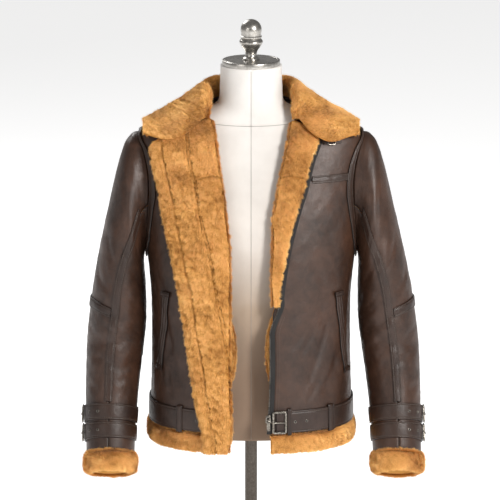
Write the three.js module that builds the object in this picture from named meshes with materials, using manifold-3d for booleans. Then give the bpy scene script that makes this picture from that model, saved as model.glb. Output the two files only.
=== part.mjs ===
// A shearling coat worn open on a dress form, in millimetres, +Z up, the front facing -Y and the
// wearer's left at +X. The origin is the middle of the base plate's underside.
// Heights in the tables are measured from the form's lower edge, which stands STAND_HEIGHT up.

import * as THREE from 'three';
import { mergeVertices } from 'three/addons/utils/BufferGeometryUtils.js';
import Module from 'manifold-3d';

const wasm = await Module();
wasm.setup();

// Driving sizes
const STAND_HEIGHT = 300;
const GAP = 0.3; // between pieces that meet
const HIDE = 8; // shearling wall: skin and wool
const SLEEVE_WALL = 6;
const ON_HIDE = 0.8; // from a panel to a strip that lies on it
const ON_SLEEVE = 1.5; // the same on a sleeve, whose panels curve more
const STRIP = 1.6;
const SQUARENESS = 2.3; // exponent of the body's rounded rings
const HEM = { low: -13, high: 21.5 };
const NECKLINE = 596;
const YOKE_SEAM = 475;
const ARMHOLE = { middle: 439.5, half: 107.5, front: 50, back: 55, shift: 4 };

const rad = THREE.MathUtils.degToRad;
const mix = THREE.MathUtils.lerp;
const spread = (from, to, n) => Array.from({ length: n + 1 }, (_, i) => mix(from, to, i / n));

// Smooth curve through a table's rows: a cubic between rows, its slopes from the rows on each side
function read(rows, key, column, at) {
  const last = rows.length - 1;
  let i = 0;
  while (i < last - 1 && at > rows[i + 1][key]) i += 1;
  const slope = (k) => {
    const a = rows[Math.max(k - 1, 0)];
    const b = rows[Math.min(k + 1, last)];
    return (b[column] - a[column]) / (b[key] - a[key]);
  };
  const p = rows[i];
  const q = rows[i + 1];
  const h = q[key] - p[key];
  const u = THREE.MathUtils.clamp((at - p[key]) / h, 0, 1);
  const bend = u * u * (3 - 2 * u);
  return p[column] * (1 - bend) + q[column] * bend
    + h * slope(i) * u * (1 - u) * (1 - u) - h * slope(i + 1) * u * u * (1 - u);
}

// Body of the jacket: half width, half depth and middle of its ring at each height
const BODY = [
  { z: -20, wide: 182, deep: 146, mid: -2 }, { z: 60, wide: 181, deep: 146, mid: -2 },
  { z: 160, wide: 179, deep: 142, mid: 0 }, { z: 250, wide: 180, deep: 136, mid: 0 },
  { z: 332, wide: 187, deep: 128, mid: 0 }, { z: 400, wide: 194, deep: 118, mid: 2 },
  { z: 470, wide: 199, deep: 100, mid: 3 }, { z: 520, wide: 203, deep: 84, mid: 4 },
  { z: 547, wide: 200, deep: 72, mid: 4 }, { z: 562, wide: 172, deep: 66, mid: 5 },
  { z: 583, wide: 122, deep: 62, mid: 6 }, { z: 600, wide: 80, deep: 60, mid: 6 },
];

// Broad folds of the body: a trough from one place to another, in degrees round and height
const BODY_FOLDS = [
  { t0: 55, z0: 255, t1: 28, z1: 95, half: 24, deep: 3.5 },
  { t0: 66, z0: 190, t1: 44, z1: 75, half: 20, deep: 2.5 },
  { t0: -62, z0: 235, t1: -44, z1: 95, half: 22, deep: 3 },
  { t0: -78, z0: 300, t1: -70, z1: 110, half: 20, deep: 2.5 },
  { t0: 84, z0: 300, t1: 78, z1: 120, half: 20, deep: 2.5 },
  { t0: 118, z0: 330, t1: 134, z1: 110, half: 26, deep: 3 },
  { t0: 152, z0: 400, t1: 144, z1: 130, half: 28, deep: 3.5 },
  { t0: 196, z0: 300, t1: 186, z1: 80, half: 26, deep: 3 },
  { t0: 222, z0: 390, t1: 230, z1: 100, half: 28, deep: 3.5 },
  { t0: 250, z0: 320, t1: 240, z1: 140, half: 24, deep: 2.5 },
];
const MM_PER_DEGREE = 2.9;

// Depth of the troughs at a place: each falls off like a bell beside its line and fades at its ends
function folds(list, u, v, uScale, vScale) {
  let sum = 0;
  for (const f of list) {
    const [x0, y0, x1, y1] = [f.t0 * uScale, f.z0 * vScale, f.t1 * uScale, f.z1 * vScale];
    const length = Math.hypot(x1 - x0, y1 - y0);
    const along = ((u * uScale - x0) * (x1 - x0) + (v * vScale - y0) * (y1 - y0)) / length;
    const beside = ((u * uScale - x0) * (y1 - y0) - (v * vScale - y0) * (x1 - x0)) / length;
    const end = Math.max(0, Math.abs(along / length - 0.5) - 0.3) * length;
    sum += f.deep * Math.exp(-((beside * beside) + end * end * 0.6) / (f.half * f.half));
  }
  return sum;
}

const power = (value, exponent) => Math.sign(value) * Math.abs(value) ** exponent;

// Ring point at angle t, from the front's middle towards the wearer's left, before folds
function ring(t, z) {
  const k = 2 / SQUARENESS;
  const x = read(BODY, 'z', 'wide', z) * power(Math.sin(t), k);
  const y = read(BODY, 'z', 'mid', z) - read(BODY, 'z', 'deep', z) * power(Math.cos(t), k);
  return new THREE.Vector3(x, y, z);
}

// Point on the jacket's body, moved out from the leather's face by off
function body(t, z, off = 0) {
  const STEP = 0.004;
  const RISE = 0.5;
  const round = ring(t + STEP, z).sub(ring(t - STEP, z));
  const up = ring(t, z + RISE).sub(ring(t, z - RISE));
  const normal = round.cross(up).normalize();
  const turn = (THREE.MathUtils.radToDeg(t) + 360 + 90) % 360 - 90;
  const sink = folds(BODY_FOLDS, turn, z, MM_PER_DEGREE, 1);
  return ring(t, z).addScaledVector(normal, off - sink);
}

// Angle at which the ring reaches a given x on the front
function angleAt(x, z) {
  return Math.asin(Math.min(1, power(x / read(BODY, 'z', 'wide', z), SQUARENESS / 2)));
}

// Angle of the armhole's edge, on the front or the back; the side seam where there is no armhole
function armholeAngle(z, back) {
  const rise = (z - ARMHOLE.middle) / ARMHOLE.half;
  const reach = Math.abs(rise) >= 1 ? 0 : Math.sqrt(1 - rise * rise);
  const y = ARMHOLE.shift + (back ? ARMHOLE.back : -ARMHOLE.front) * reach;
  const share = Math.abs(y - read(BODY, 'z', 'mid', z)) / read(BODY, 'z', 'deep', z);
  const short = Math.acos(Math.min(share, 1) ** (SQUARENESS / 2));
  const blend = Math.min(1, reach * 3);
  return Math.PI / 2 + (back ? 1 : -1) * (Math.PI / 2 - short) * blend;
}

// Mesh from loops of equal, even length that follow each other; ends are closed by pairing points.
// The second half of a loop, the inner face, is split along the same diagonals as the outer face.
function skin(loops, closed = false) {
  const m = loops[0].length;
  const points = loops.flat();
  const index = [];
  const quad = (a, b, c, d) => index.push(a, b, c, a, c, d);
  const n = loops.length;
  for (let i = 0; i < (closed ? n : n - 1); i += 1) {
    for (let j = 0; j < m; j += 1) {
      const k = (j + 1) % m;
      const next = ((i + 1) % n) * m;
      if (j < m / 2) quad(i * m + j, i * m + k, next + k, next + j);
      else quad(i * m + k, next + k, next + j, i * m + j);
    }
  }
  if (!closed) {
    for (let j = 0; j < m / 2 - 1; j += 1) {
      const [a, b, c, d] = [j, j + 1, m - 2 - j, m - 1 - j];
      const top = (n - 1) * m;
      quad(a, d, c, b);
      quad(top + a, top + b, top + c, top + d);
    }
  }
  let volume = 0;
  for (let i = 0; i < index.length; i += 3) {
    const [a, b, c] = [points[index[i]], points[index[i + 1]], points[index[i + 2]]];
    volume += a.dot(b.clone().cross(c));
  }
  if (volume < 0) index.reverse();
  const geometry = new THREE.BufferGeometry();
  geometry.setAttribute('position', new THREE.Float32BufferAttribute(
    points.flatMap((p) => [p.x, p.y, p.z]), 3));
  geometry.setIndex(index);
  return geometry;
}

// Slab of cloth: one loop a row, out along the outer face and back along the inner face
function slab(rows, columns, place, outer, inner) {
  return skin(rows.map((v) => {
    const line = spread(0, 1, columns);
    return [...line.map((u) => place(u, v, outer)),
      ...line.reverse().map((u) => place(u, v, inner))];
  }));
}

// A section of [across, out] pairs carried along steps
function carry(steps, section, place, closed = false) {
  return skin(steps.map((s) => section.map(([across, out]) => place(s, across, out))), closed);
}

const flat = (width, inner, outer) => [
  [-width / 2, inner], [width / 2, inner], [width / 2, outer], [-width / 2, outer]];

// Rounded section of a fur roll: low and high edge, inner and outer face
function fleece(low, high, inner, outer) {
  const soft = Math.min(high - low, outer - inner) * 0.28;
  return [
    [low, inner + soft], [low, outer - soft], [low + soft, outer], [high - soft, outer],
    [high, outer - soft], [high, inner + soft], [high - soft, inner], [low + soft, inner],
  ];
}

const solidOf = (geometry) => {
  const bare = geometry.clone();
  for (const name of Object.keys(bare.attributes)) {
    if (name !== 'position') bare.deleteAttribute(name);
  }
  const merged = mergeVertices(bare, 1e-4);
  return new wasm.Manifold(new wasm.Mesh({
    numProp: 3,
    vertProperties: new Float32Array(merged.attributes.position.array),
    triVerts: new Uint32Array(merged.index.array),
  }));
};

const geometryOf = (solid) => {
  const mesh = solid.getMesh();
  const geometry = new THREE.BufferGeometry();
  geometry.setAttribute('position', new THREE.BufferAttribute(mesh.vertProperties, 3));
  geometry.setIndex(new THREE.BufferAttribute(mesh.triVerts, 1));
  return geometry;
};

const join = (...parts) => geometryOf(parts.map(solidOf).reduce((a, b) => a.add(b)));

const finish = (color, roughness, metalness = 0) => (
  new THREE.MeshStandardMaterial({ color, roughness, metalness }));
const LEATHER = () => finish(0x4e3e38, 0.5);
const TRIM = () => finish(0x43332d, 0.5);
const FUR = () => finish(0xd6964a, 0.95);
const CANVAS = () => finish(0xe4ded4, 0.9);
const NICKEL = () => finish(0xa8a29a, 0.32, 1);
const BRONZE = () => finish(0x6e675f, 0.38, 1);
const DARK_METAL = () => finish(0x55504b, 0.35, 1);
const TAPE = () => finish(0x1d1a19, 0.8);

const group = new THREE.Group();
const figure = new THREE.Group();
figure.position.z = STAND_HEIGHT;
group.add(figure);

function add(name, geometry, material, parent = figure) {
  const mesh = new THREE.Mesh(geometry, material);
  mesh.name = name;
  parent.add(mesh);
  return mesh;
}

// Heights of the panels' rows: closer together round the armhole's ends
const LOW_ROWS = [HEM.high + GAP, 50, 80, 110, 140, 170, 200, 232, 264, 298, 332];
const CHEST_ROWS = [335, 344, 360, 385, 415, 445];
const TOP_ROWS = [500, 522, 536, 544, 547, 556, 567, 578, 588, NECKLINE];
const half = GAP / 2;
const SEAM = 0.0009; // half a seam's gap, in radians round the body

// The free edge of each front: x of its leather and of the turned-back fur's outer edge
const RIGHT_FRONT = [
  { z: -5, fold: 40, zip: 82 }, { z: 27, fold: 36, zip: 85 }, { z: 93, fold: 37, zip: 98 },
  { z: 170, fold: 38, zip: 109 }, { z: 257, fold: 38, zip: 122 }, { z: 303, fold: 38, zip: 130 },
  { z: 358, fold: 39, zip: 141 }, { z: 412, fold: 45, zip: 153 }, { z: 455, fold: 50, zip: 161 },
  { z: 499, fold: 57, zip: 171 }, { z: 540, fold: 63, zip: 178 }, { z: 579, fold: 70, zip: 182 },
  { z: NECKLINE, fold: 79, zip: 182 },
];
const LEFT_FRONT = [
  { z: -5, fold: 35, zip: 35 }, { z: 27, fold: 35, zip: 36 }, { z: 93, fold: 39, zip: 41 },
  { z: 170, fold: 40, zip: 43 }, { z: 257, fold: 38, zip: 47 }, { z: 303, fold: 37, zip: 52 },
  { z: 358, fold: 38, zip: 62 }, { z: 412, fold: 41, zip: 76 }, { z: 455, fold: 47, zip: 90 },
  { z: 499, fold: 57, zip: 101 }, { z: 540, fold: 66, zip: 116 }, { z: 579, fold: 72, zip: 128 },
  { z: NECKLINE, fold: 79, zip: 128 },
];
const EDGE_WRAP = 6.5; // thickness of the fur that turns round a front's edge
const FACING_FOOT = 262; // below this the left front is plain leather up to its zip

function frontEdge(side, z) {
  const wrapped = side > 0 ? THREE.MathUtils.smoothstep(z, FACING_FOOT - 26, FACING_FOOT) : 1;
  return read(side > 0 ? LEFT_FRONT : RIGHT_FRONT, 'z', 'fold', z) + EDGE_WRAP * wrapped;
}

function frontPlace(side) {
  return (u, z, off) => {
    const from = angleAt(frontEdge(side, z), z);
    const to = armholeAngle(z, false) - SEAM;
    return body(side * mix(from, Math.max(to, from + 0.02), u), z, off);
  };
}

const FRONT_COLUMNS = 8;
for (const [side, name] of [[1, 'left'], [-1, 'right']]) {
  const place = frontPlace(side);
  const lower = [...LOW_ROWS, ...CHEST_ROWS, YOKE_SEAM - half];
  const upper = [YOKE_SEAM + half, ...TOP_ROWS];
  add(`front_${name}`, slab(lower, FRONT_COLUMNS, place, 0, -HIDE), LEATHER());
  add(`front_yoke_${name}`, slab(upper, FRONT_COLUMNS, place, 0, -HIDE), LEATHER());
}

const BACK_COLUMNS = 18;
add('back_panel', slab([...LOW_ROWS, ...CHEST_ROWS, YOKE_SEAM, ...TOP_ROWS], BACK_COLUMNS, (u, z, off) => {
  const start = armholeAngle(z, true) + SEAM;
  return body(mix(start, 2 * Math.PI - start, u), z, off);
}, 0, -HIDE), LEATHER());

// Yoke strips: a flat strip over each front yoke seam
const YOKE_STRIP = 13;
for (const [side, name] of [[1, 'left'], [-1, 'right']]) {
  const z = YOKE_SEAM;
  const from = side > 0 ? 109 : 167;
  const steps = spread(angleAt(from, z), armholeAngle(z, false) - 0.118, side > 0 ? 7 : 2);
  add(`yoke_strip_${name}`, carry(steps, flat(YOKE_STRIP, ON_HIDE, ON_HIDE + STRIP),
    (t, across, out) => body(side * t, z + across, out)), TRIM());
}

// Right lapel: the front turned back from its fold to its zip edge, wool side out, with the wool
// turning round the fold. The collar seam cuts its top from the fold down to the corner.
const LAPEL = { under: 4.2, over: 17, hem: -15 };

// Top edge of each turned-back front, from its fold (0) to its outer corner (1)
const GORGE_RIGHT = [{ u: 0, z: 574 }, { u: 0.3, z: 553.4 }, { u: 0.6, z: 540.4 }, { u: 0.85, z: 536.6 },
  { u: 1, z: 529 }];
const GORGE_LEFT = [{ u: 0, z: 573 }, { u: 0.5, z: 560 }, { u: 1, z: 543 }];

function turnedBack(side, top, bottom, rows, columns, edges, outer) {
  const inner = LAPEL.under;
  return skin(spread(0, 1, rows).map((v) => {
    const line = spread(0, 1, columns);
    const at = (u) => {
      const z = mix(top(u), bottom, v);
      const fold = read(edges, 'z', 'fold', z);
      const zip = Math.max(read(edges, 'z', 'zip', z), fold + EDGE_WRAP + 4);
      return { z, fold, x: mix(fold + EDGE_WRAP, zip, u) };
    };
    const face = (u, off, dx = 0) => {
      const p = at(u);
      return body(side * angleAt(p.x + dx, p.z), p.z, off);
    };
    const wrap = (dx, off) => {
      const p = at(0);
      return body(side * angleAt(p.fold + dx, p.z), p.z, off);
    };
    const crown = line.map((u) => face(u, outer - (u > 0.99 ? 4 : 0) - (u === 0 ? 2 : 0)));
    const outside = [wrap(0, -HIDE * 0.6), wrap(0, inner), wrap(2, outer - 5), ...crown];
    const inside = [wrap(EDGE_WRAP - 0.8, -HIDE * 0.6), wrap(EDGE_WRAP - 0.8, 1.5),
      face(0, inner), ...line.map((u) => face(u, inner, u === 0 ? 1 : 0))];
    return [...outside, ...inside.reverse()];
  }));
}

add('lapel_right', turnedBack(-1, (u) => read(GORGE_RIGHT, 'u', 'z', u), LAPEL.hem, 22, 6,
  RIGHT_FRONT, LAPEL.over), FUR());
add('lapel_left', turnedBack(1, (u) => read(GORGE_LEFT, 'u', 'z', u), FACING_FOOT, 12, 2,
  LEFT_FRONT, 13), FUR());

// Inner pocket bags: a rounded fur flap behind each front's edge
for (const [side, name] of [[1, 'left'], [-1, 'right']]) {
  const BAG = { low: 104, high: 236, in: 29, out: 92, gap: 1.35, deep: 6 };
  add(`pocket_bag_${name}`, slab(spread(BAG.low, BAG.high, 6), 3, (u, z, off) => {
    const share = (z - BAG.low) / (BAG.high - BAG.low);
    const edge = mix(46, BAG.in, Math.sin(Math.PI * share) ** 0.6);
    return body(side * angleAt(mix(edge, BAG.out, u), z), z, off);
  }, -HIDE - BAG.gap, -HIDE - BAG.gap - BAG.deep), FUR());
}

// Slanted pocket welts
const POCKETS = [
  { name: 'left', side: 1, x0: 156, z0: 268, x1: 170, z1: 122 },
  { name: 'right', side: -1, x0: 152, z0: 268, x1: 165, z1: 128 },
];
const WELT = 21;
for (const p of POCKETS) {
  add(`pocket_welt_${p.name}`, carry(spread(0, 1, 8), flat(WELT, ON_HIDE + 0.4, ON_HIDE + 2.6),
    (s, across, out) => {
      const z = mix(p.z0, p.z1, s);
      const t = angleAt(mix(p.x0, p.x1, s), z);
      return body(p.side * (t + rad(across / MM_PER_DEGREE)), z, out);
    }), TRIM());
}

// Waist belt in three lengths, with its loops, keeper and buckle
const BELT = { middle: 45.5, width: 40, out: 2.6 };
const beltFace = (t, across, out) => body(t, BELT.middle + across, out);
const beltSection = flat(BELT.width, ON_HIDE, ON_HIDE + BELT.out);
const round = (x) => angleAt(x, BELT.middle);
const SIDE = Math.PI / 2;
add('belt_left', carry(spread(round(45), SIDE - SEAM, 16), beltSection, beltFace), TRIM());
add('belt_right', carry(spread(-SIDE + SEAM, -round(60), 14), beltSection, beltFace), TRIM());
add('belt_back', carry(spread(SIDE + SEAM, 3 * SIDE - SEAM, 32), beltSection, beltFace), TRIM());

// A loop is a closed band round the belt: it lies over it and turns in at the top and bottom
function beltLoop(t, width) {
  const reach = BELT.width / 2;
  const lift = ON_HIDE + BELT.out + 0.4;
  const path = [[-reach - 3, 0.9], [-reach - 1.6, lift], [reach + 1.6, lift], [reach + 3, 0.9]];
  const turn = rad(width / 2 / MM_PER_DEGREE);
  return skin(path.map(([up, out]) => [
    body(t - turn, BELT.middle + up, out), body(t + turn, BELT.middle + up, out),
    body(t + turn, BELT.middle + up * 1.03, out + STRIP),
    body(t - turn, BELT.middle + up * 1.03, out + STRIP)]));
}
const LOOPS = [
  ['belt_loop_left', round(141), 15], ['belt_loop_right', -round(127), 14],
  ['belt_loop_back_left', rad(135), 15], ['belt_loop_back_right', rad(225), 15],
];
for (const [name, t, width] of LOOPS) add(name, beltLoop(t, width), TRIM());
add('belt_keeper', beltLoop(round(68), 7), TRIM());

// Frame of reference on a surface: x along, y across, z out
function seat(place, s, across, out) {
  const at = place(s, across, out);
  const normal = place(s, across, out + 1).sub(at).normalize();
  const along = place(s + 0.02, across, out).sub(place(s - 0.02, across, out));
  along.addScaledVector(normal, -along.dot(normal)).normalize();
  return new THREE.Matrix4().makeBasis(along, normal.clone().cross(along), normal).setPosition(at);
}

// Buckle: a rounded frame with its prong lying across it; x along the strap, z out
function buckle(long, tall, bar, thick, prong) {
  const rounded = (shape, w, h, r) => {
    shape.absarc(w / 2 - r, h / 2 - r, r, 0, Math.PI / 2);
    shape.absarc(-w / 2 + r, h / 2 - r, r, Math.PI / 2, Math.PI);
    shape.absarc(-w / 2 + r, -h / 2 + r, r, Math.PI, Math.PI * 1.5);
    shape.absarc(w / 2 - r, -h / 2 + r, r, Math.PI * 1.5, Math.PI * 2);
    return shape;
  };
  const outline = rounded(new THREE.Shape(), long, tall, 3);
  outline.holes.push(rounded(new THREE.Path(), long - 2 * bar, tall - 2 * bar, 1.5));
  const frame = new THREE.ExtrudeGeometry(outline, {
    depth: thick, bevelEnabled: false, curveSegments: 1 });
  const tongue = new THREE.BoxGeometry(prong, 2.6, 1.8);
  tongue.translate(prong / 2 - long / 2 + 0.5, 0, thick + 0.4);
  return join(frame, tongue);
}

function mount(name, geometry, matrix, material) {
  add(name, geometry, material).applyMatrix4(matrix);
}
mount('belt_buckle', buckle(27, 42, 4.2, 3, 26),
  seat(beltFace, round(50), 0, ON_HIDE + BELT.out + 0.6), DARK_METAL());

// Hem fur: a roll under the leather's lower edge, in three lengths
const hemSection = fleece(HEM.low, HEM.high, -13, 6);
const hem = (from, to, n) => carry(spread(from, to, n), hemSection, body);
add('hem_fur_left', hem(angleAt(36, 0), SIDE - SEAM, 10), FUR());
add('hem_fur_back', hem(SIDE + SEAM, 3 * SIDE - SEAM, 22), FUR());
add('hem_fur_right', hem(-SIDE + SEAM, -angleAt(88, 0), 8), FUR());

// Sleeve: rings from the armhole's plane down to the cuff. Each has its outer and inner point seen
// from the front, its half depth, the place of its middle and its lean towards the front.
const SLEEVE = [
  { s: 0, ox: 201.2, oz: 547, ix: 188.2, iz: 332, deep: 52.5, mid: 6.5, lean: 0 },
  { s: 1, ox: 213, oz: 543, ix: 190, iz: 329, deep: 61, mid: 6, lean: 0 },
  { s: 2, ox: 227, oz: 524, ix: 191.5, iz: 324, deep: 69, mid: 6, lean: 0 },
  { s: 3, ox: 241, oz: 478, ix: 192.5, iz: 316, deep: 74, mid: 5, lean: 0 },
  { s: 4, ox: 256, oz: 412, ix: 192.5, iz: 303, deep: 76, mid: 5, lean: 0 },
  { s: 5, ox: 267, oz: 362, ix: 191, iz: 284, deep: 75, mid: 5, lean: 0 },
  { s: 6, ox: 276, oz: 316, ix: 189.5, iz: 258, deep: 73, mid: 4, lean: 1 },
  { s: 7, ox: 284, oz: 270, ix: 188.5, iz: 226, deep: 71, mid: 3, lean: 2 },
  { s: 8, ox: 290, oz: 226, ix: 189.5, iz: 192, deep: 68, mid: 1, lean: 4 },
  { s: 9, ox: 294.5, oz: 184, ix: 193, iz: 160, deep: 65, mid: -1, lean: 7 },
  { s: 10, ox: 297, oz: 142, ix: 197, iz: 128, deep: 62, mid: -6, lean: 11 },
  { s: 11, ox: 298, oz: 98, ix: 201.5, iz: 90, deep: 59, mid: -15, lean: 15 },
  { s: 12, ox: 298, oz: 54, ix: 205.5, iz: 50, deep: 56, mid: -27, lean: 19 },
  { s: 13, ox: 297.5, oz: 10, ix: 208.5, iz: 8, deep: 52, mid: -42, lean: 21 },
  { s: 14, ox: 297, oz: -33, ix: 210, iz: -33, deep: 49, mid: -57, lean: 22 },
];
// How much further out the wearer's left sleeve hangs than the right one
const LEFT_SWING = [{ s: 0, x: 0 }, { s: 4, x: 0.5 }, { s: 8, x: 4.5 }, { s: 14, x: 9.5 }];
const SLEEVE_FOLDS = [
  { t0: 40, z0: 3.2, t1: 95, z1: 4.6, half: 20, deep: 3 },
  { t0: 120, z0: 5.2, t1: 165, z1: 6.6, half: 16, deep: 3 },
  { t0: 60, z0: 7.6, t1: 150, z1: 8.4, half: 15, deep: 3.5 },
  { t0: 30, z0: 9.6, t1: 120, z1: 9.0, half: 15, deep: 3 },
  { t0: 100, z0: 10.6, t1: 160, z1: 10.0, half: 13, deep: 2.5 },
  { t0: 200, z0: 8.8, t1: 262, z1: 8.2, half: 16, deep: 3 },
  { t0: 215, z0: 6.4, t1: 275, z1: 7.0, half: 16, deep: 2.5 },
];
const SLEEVE_MM_PER_DEGREE = 1.05;
const SLEEVE_MM_PER_RING = 43;

function armholeX(y, z) {
  const share = Math.abs((y - read(BODY, 'z', 'mid', z)) / read(BODY, 'z', 'deep', z));
  return read(BODY, 'z', 'wide', z) * (1 - Math.min(share, 1) ** SQUARENESS) ** (1 / SQUARENESS);
}

// Point on a sleeve at angle f, from its outer line round by the front, at ring s
function sleeve(side, f, s, off = 0) {
  const get = (column) => read(SLEEVE, 's', column, s);
  const swing = side > 0 ? read(LEFT_SWING, 's', 'x', s) : 0;
  const outer = new THREE.Vector3(get('ox') + swing, 0, get('oz'));
  const inner = new THREE.Vector3(get('ix') + swing, 0, get('iz'));
  const middle = outer.clone().add(inner).multiplyScalar(0.5);
  middle.y = get('mid');
  const across = outer.clone().sub(inner);
  const wide = across.length() / 2;
  across.normalize();
  const lean = rad(get('lean'));
  const front = new THREE.Vector3(0, -Math.cos(lean), Math.sin(lean));
  const turn = (THREE.MathUtils.radToDeg(f) + 360) % 360;
  const grow = off - folds(SLEEVE_FOLDS, turn, s, SLEEVE_MM_PER_DEGREE, SLEEVE_MM_PER_RING);
  const p = middle.addScaledVector(across, (wide + grow) * Math.cos(f))
    .addScaledVector(front, (get('deep') + grow) * Math.sin(f));
  const fade = Math.max(0, 1 - s / 4) ** 2;
  if (fade > 0) {
    const y = ARMHOLE.shift + (Math.sin(f) > 0 ? -ARMHOLE.front : ARMHOLE.back) * Math.abs(Math.sin(f));
    const z = ARMHOLE.middle + ARMHOLE.half * Math.cos(f) * 0.999;
    const plane = mix(188.2, 201.2, (1 + Math.cos(f)) / 2);
    p.x += (armholeX(y, z) - plane + 0.9) * fade;
    p.y = mix(p.y, y - Math.sign(Math.sin(f)) * Math.abs(Math.sin(f)) * off, fade);
  }
  p.x *= side;
  return p;
}

const FRONT_SEAM = [
  { s: 0, f: 100 }, { s: 3, f: 107 }, { s: 5, f: 92 }, { s: 7, f: 84 }, { s: 14, f: 86 }];
const BACK_SEAM = -95;
const seamAngle = (s) => rad(read(FRONT_SEAM, 's', 'f', s));
const SLEEVE_ROWS = [0, 0.5, 1, 1.6, 2.3, 3, 3.8, 4.6, 5.4, 6.2, 7, 7.8, 8.6, 9.5, 10.4, 11.4, 12.6, 14];
const SLEEVE_SEAM = 0.0028;

for (const [side, name] of [[1, 'left'], [-1, 'right']]) {
  add(`sleeve_top_${name}`, slab(SLEEVE_ROWS, 10, (u, s, off) => sleeve(
    side, mix(rad(BACK_SEAM) + SLEEVE_SEAM, seamAngle(s) - SLEEVE_SEAM, u), s, off),
  0, -SLEEVE_WALL), LEATHER());
  add(`sleeve_under_${name}`, slab(SLEEVE_ROWS, 8, (u, s, off) => sleeve(
    side, mix(seamAngle(s) + SLEEVE_SEAM, rad(BACK_SEAM + 360) - SLEEVE_SEAM, u), s, off),
  0, -SLEEVE_WALL), LEATHER());

  // A raised strip over the front seam, a band round the outside of the elbow
  const STRIP_WIDTH = 17;
  const stripSection = flat(STRIP_WIDTH, ON_SLEEVE, ON_SLEEVE + STRIP);
  add(`sleeve_strip_${name}`, carry(spread(1.5, 12.05, 20), stripSection,
    (s, across, out) => sleeve(side, seamAngle(s) + rad(across / SLEEVE_MM_PER_DEGREE), s, out)),
  TRIM());
  const ELBOW = { s: 7.75, width: 18 };
  const beside = rad(STRIP_WIDTH / 2 / SLEEVE_MM_PER_DEGREE) + 0.02;
  add(`elbow_band_${name}`, carry(spread(rad(BACK_SEAM) + 0.05, seamAngle(ELBOW.s) - beside, 14),
    flat(ELBOW.width, ON_HIDE, ON_HIDE + STRIP),
    (f, across, out) => sleeve(side, f, ELBOW.s - across / SLEEVE_MM_PER_RING, out)), TRIM());

  // Two straps round the front of each cuff, each with its buckle on the outer side
  const STRAPS = [['upper', 12.45], ['lower', 13.19]];
  for (const [level, at] of STRAPS) {
    const face = (f, across, out) => sleeve(side, f, at - across / SLEEVE_MM_PER_RING, out);
    add(`cuff_strap_${level}_${name}`, carry(spread(rad(-40), rad(172), 20),
      flat(28, ON_HIDE + 0.2, ON_HIDE + 2.8), face), TRIM());
    mount(`cuff_buckle_${level}_${name}`, buckle(20, 33, 3.6, 2.6, 19),
      seat(face, rad(6), 0, ON_HIDE + 3.6), DARK_METAL());
  }

  // Cuff fur: a roll round the end of the sleeve
  const cuff = fleece(-48, -0.4, -16, 7);
  const lip = (f, across, out) => {
    const a = sleeve(side, f, 14, out);
    const step = sleeve(side, f, 14, out).sub(sleeve(side, f, 13.5, out)).normalize();
    return a.addScaledVector(step, -across);
  };
  add(`cuff_fur_${name}`, carry(spread(0, 2 * Math.PI, 20).slice(0, -1), cuff, lip, true), FUR());

  // Armhole strip, on the body beside the sleeve's seam
  const rim = (f, across, out) => {
    const c = Math.cos(f);
    const grow = across * (c > 0 ? mix(1, 0.4, c) : 1);
    const y = ARMHOLE.shift
      + (Math.sin(f) > 0 ? -(ARMHOLE.front + grow) : ARMHOLE.back + grow) * Math.abs(Math.sin(f));
    const z = ARMHOLE.middle + (ARMHOLE.half + grow) * c;
    const x = armholeX(y, z);
    const t = Math.atan2(power(x / read(BODY, 'z', 'wide', z), SQUARENESS / 2),
      power((read(BODY, 'z', 'mid', z) - y) / read(BODY, 'z', 'deep', z), SQUARENESS / 2));
    return body(side * t, z, out);
  };
  add(`armhole_strip_${name}`, carry(spread(0, 2 * Math.PI, 32).slice(0, -1), [
    [2.4, 1.2], [11, 1.2], [11, 1.2 + STRIP], [2.4, 1.2 + STRIP]], rim, true), TRIM());
}

// Collar: a stand round the neck that rolls over into a leaf on the shoulders. Each row is a place
// round the neck on the wearer's left; the other side mirrors it.
const COLLAR = [
  { u: 0, nx: 0, ny: 70, nz: 601, rx: 0, ry: 79, rz: 661,
    ex: 0, ey: 104, ez: 555, loft: 6, bow: 0 },
  { u: 0.25, nx: 34, ny: 66, nz: 601, rx: 31, ry: 72, rz: 661,
    ex: 62, ey: 101, ez: 555, loft: 6, bow: 0 },
  { u: 0.5, nx: 66, ny: 48, nz: 601, rx: 56, ry: 47, rz: 660,
    ex: 116, ey: 89, ez: 550, loft: 6, bow: 0 },
  { u: 0.68, nx: 82, ny: 14, nz: 601, rx: 68, ry: 10, rz: 644,
    ex: 163, ey: 60, ez: 558, loft: 1, bow: 0 },
  { u: 0.82, nx: 80, ny: -22, nz: 600, rx: 71, ry: -18, rz: 635,
    ex: 193, ey: 20, ez: 562.5, loft: 0, bow: 2 },
  { u: 0.92, nx: 76, ny: -44, nz: 591, rx: 75, ry: -47, rz: 615,
    ex: 194, ey: -20, ez: 564.5, loft: -11.5, bow: 8 },
  { u: 1, nx: 76, ny: -57, nz: 580, rx: 76, ry: -66, rz: 586,
    ex: 194, ey: -48, ez: 553, loft: -18, bow: 15 },
];
const ROLL = { radius: 8.2, reach: 0.1 };

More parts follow.
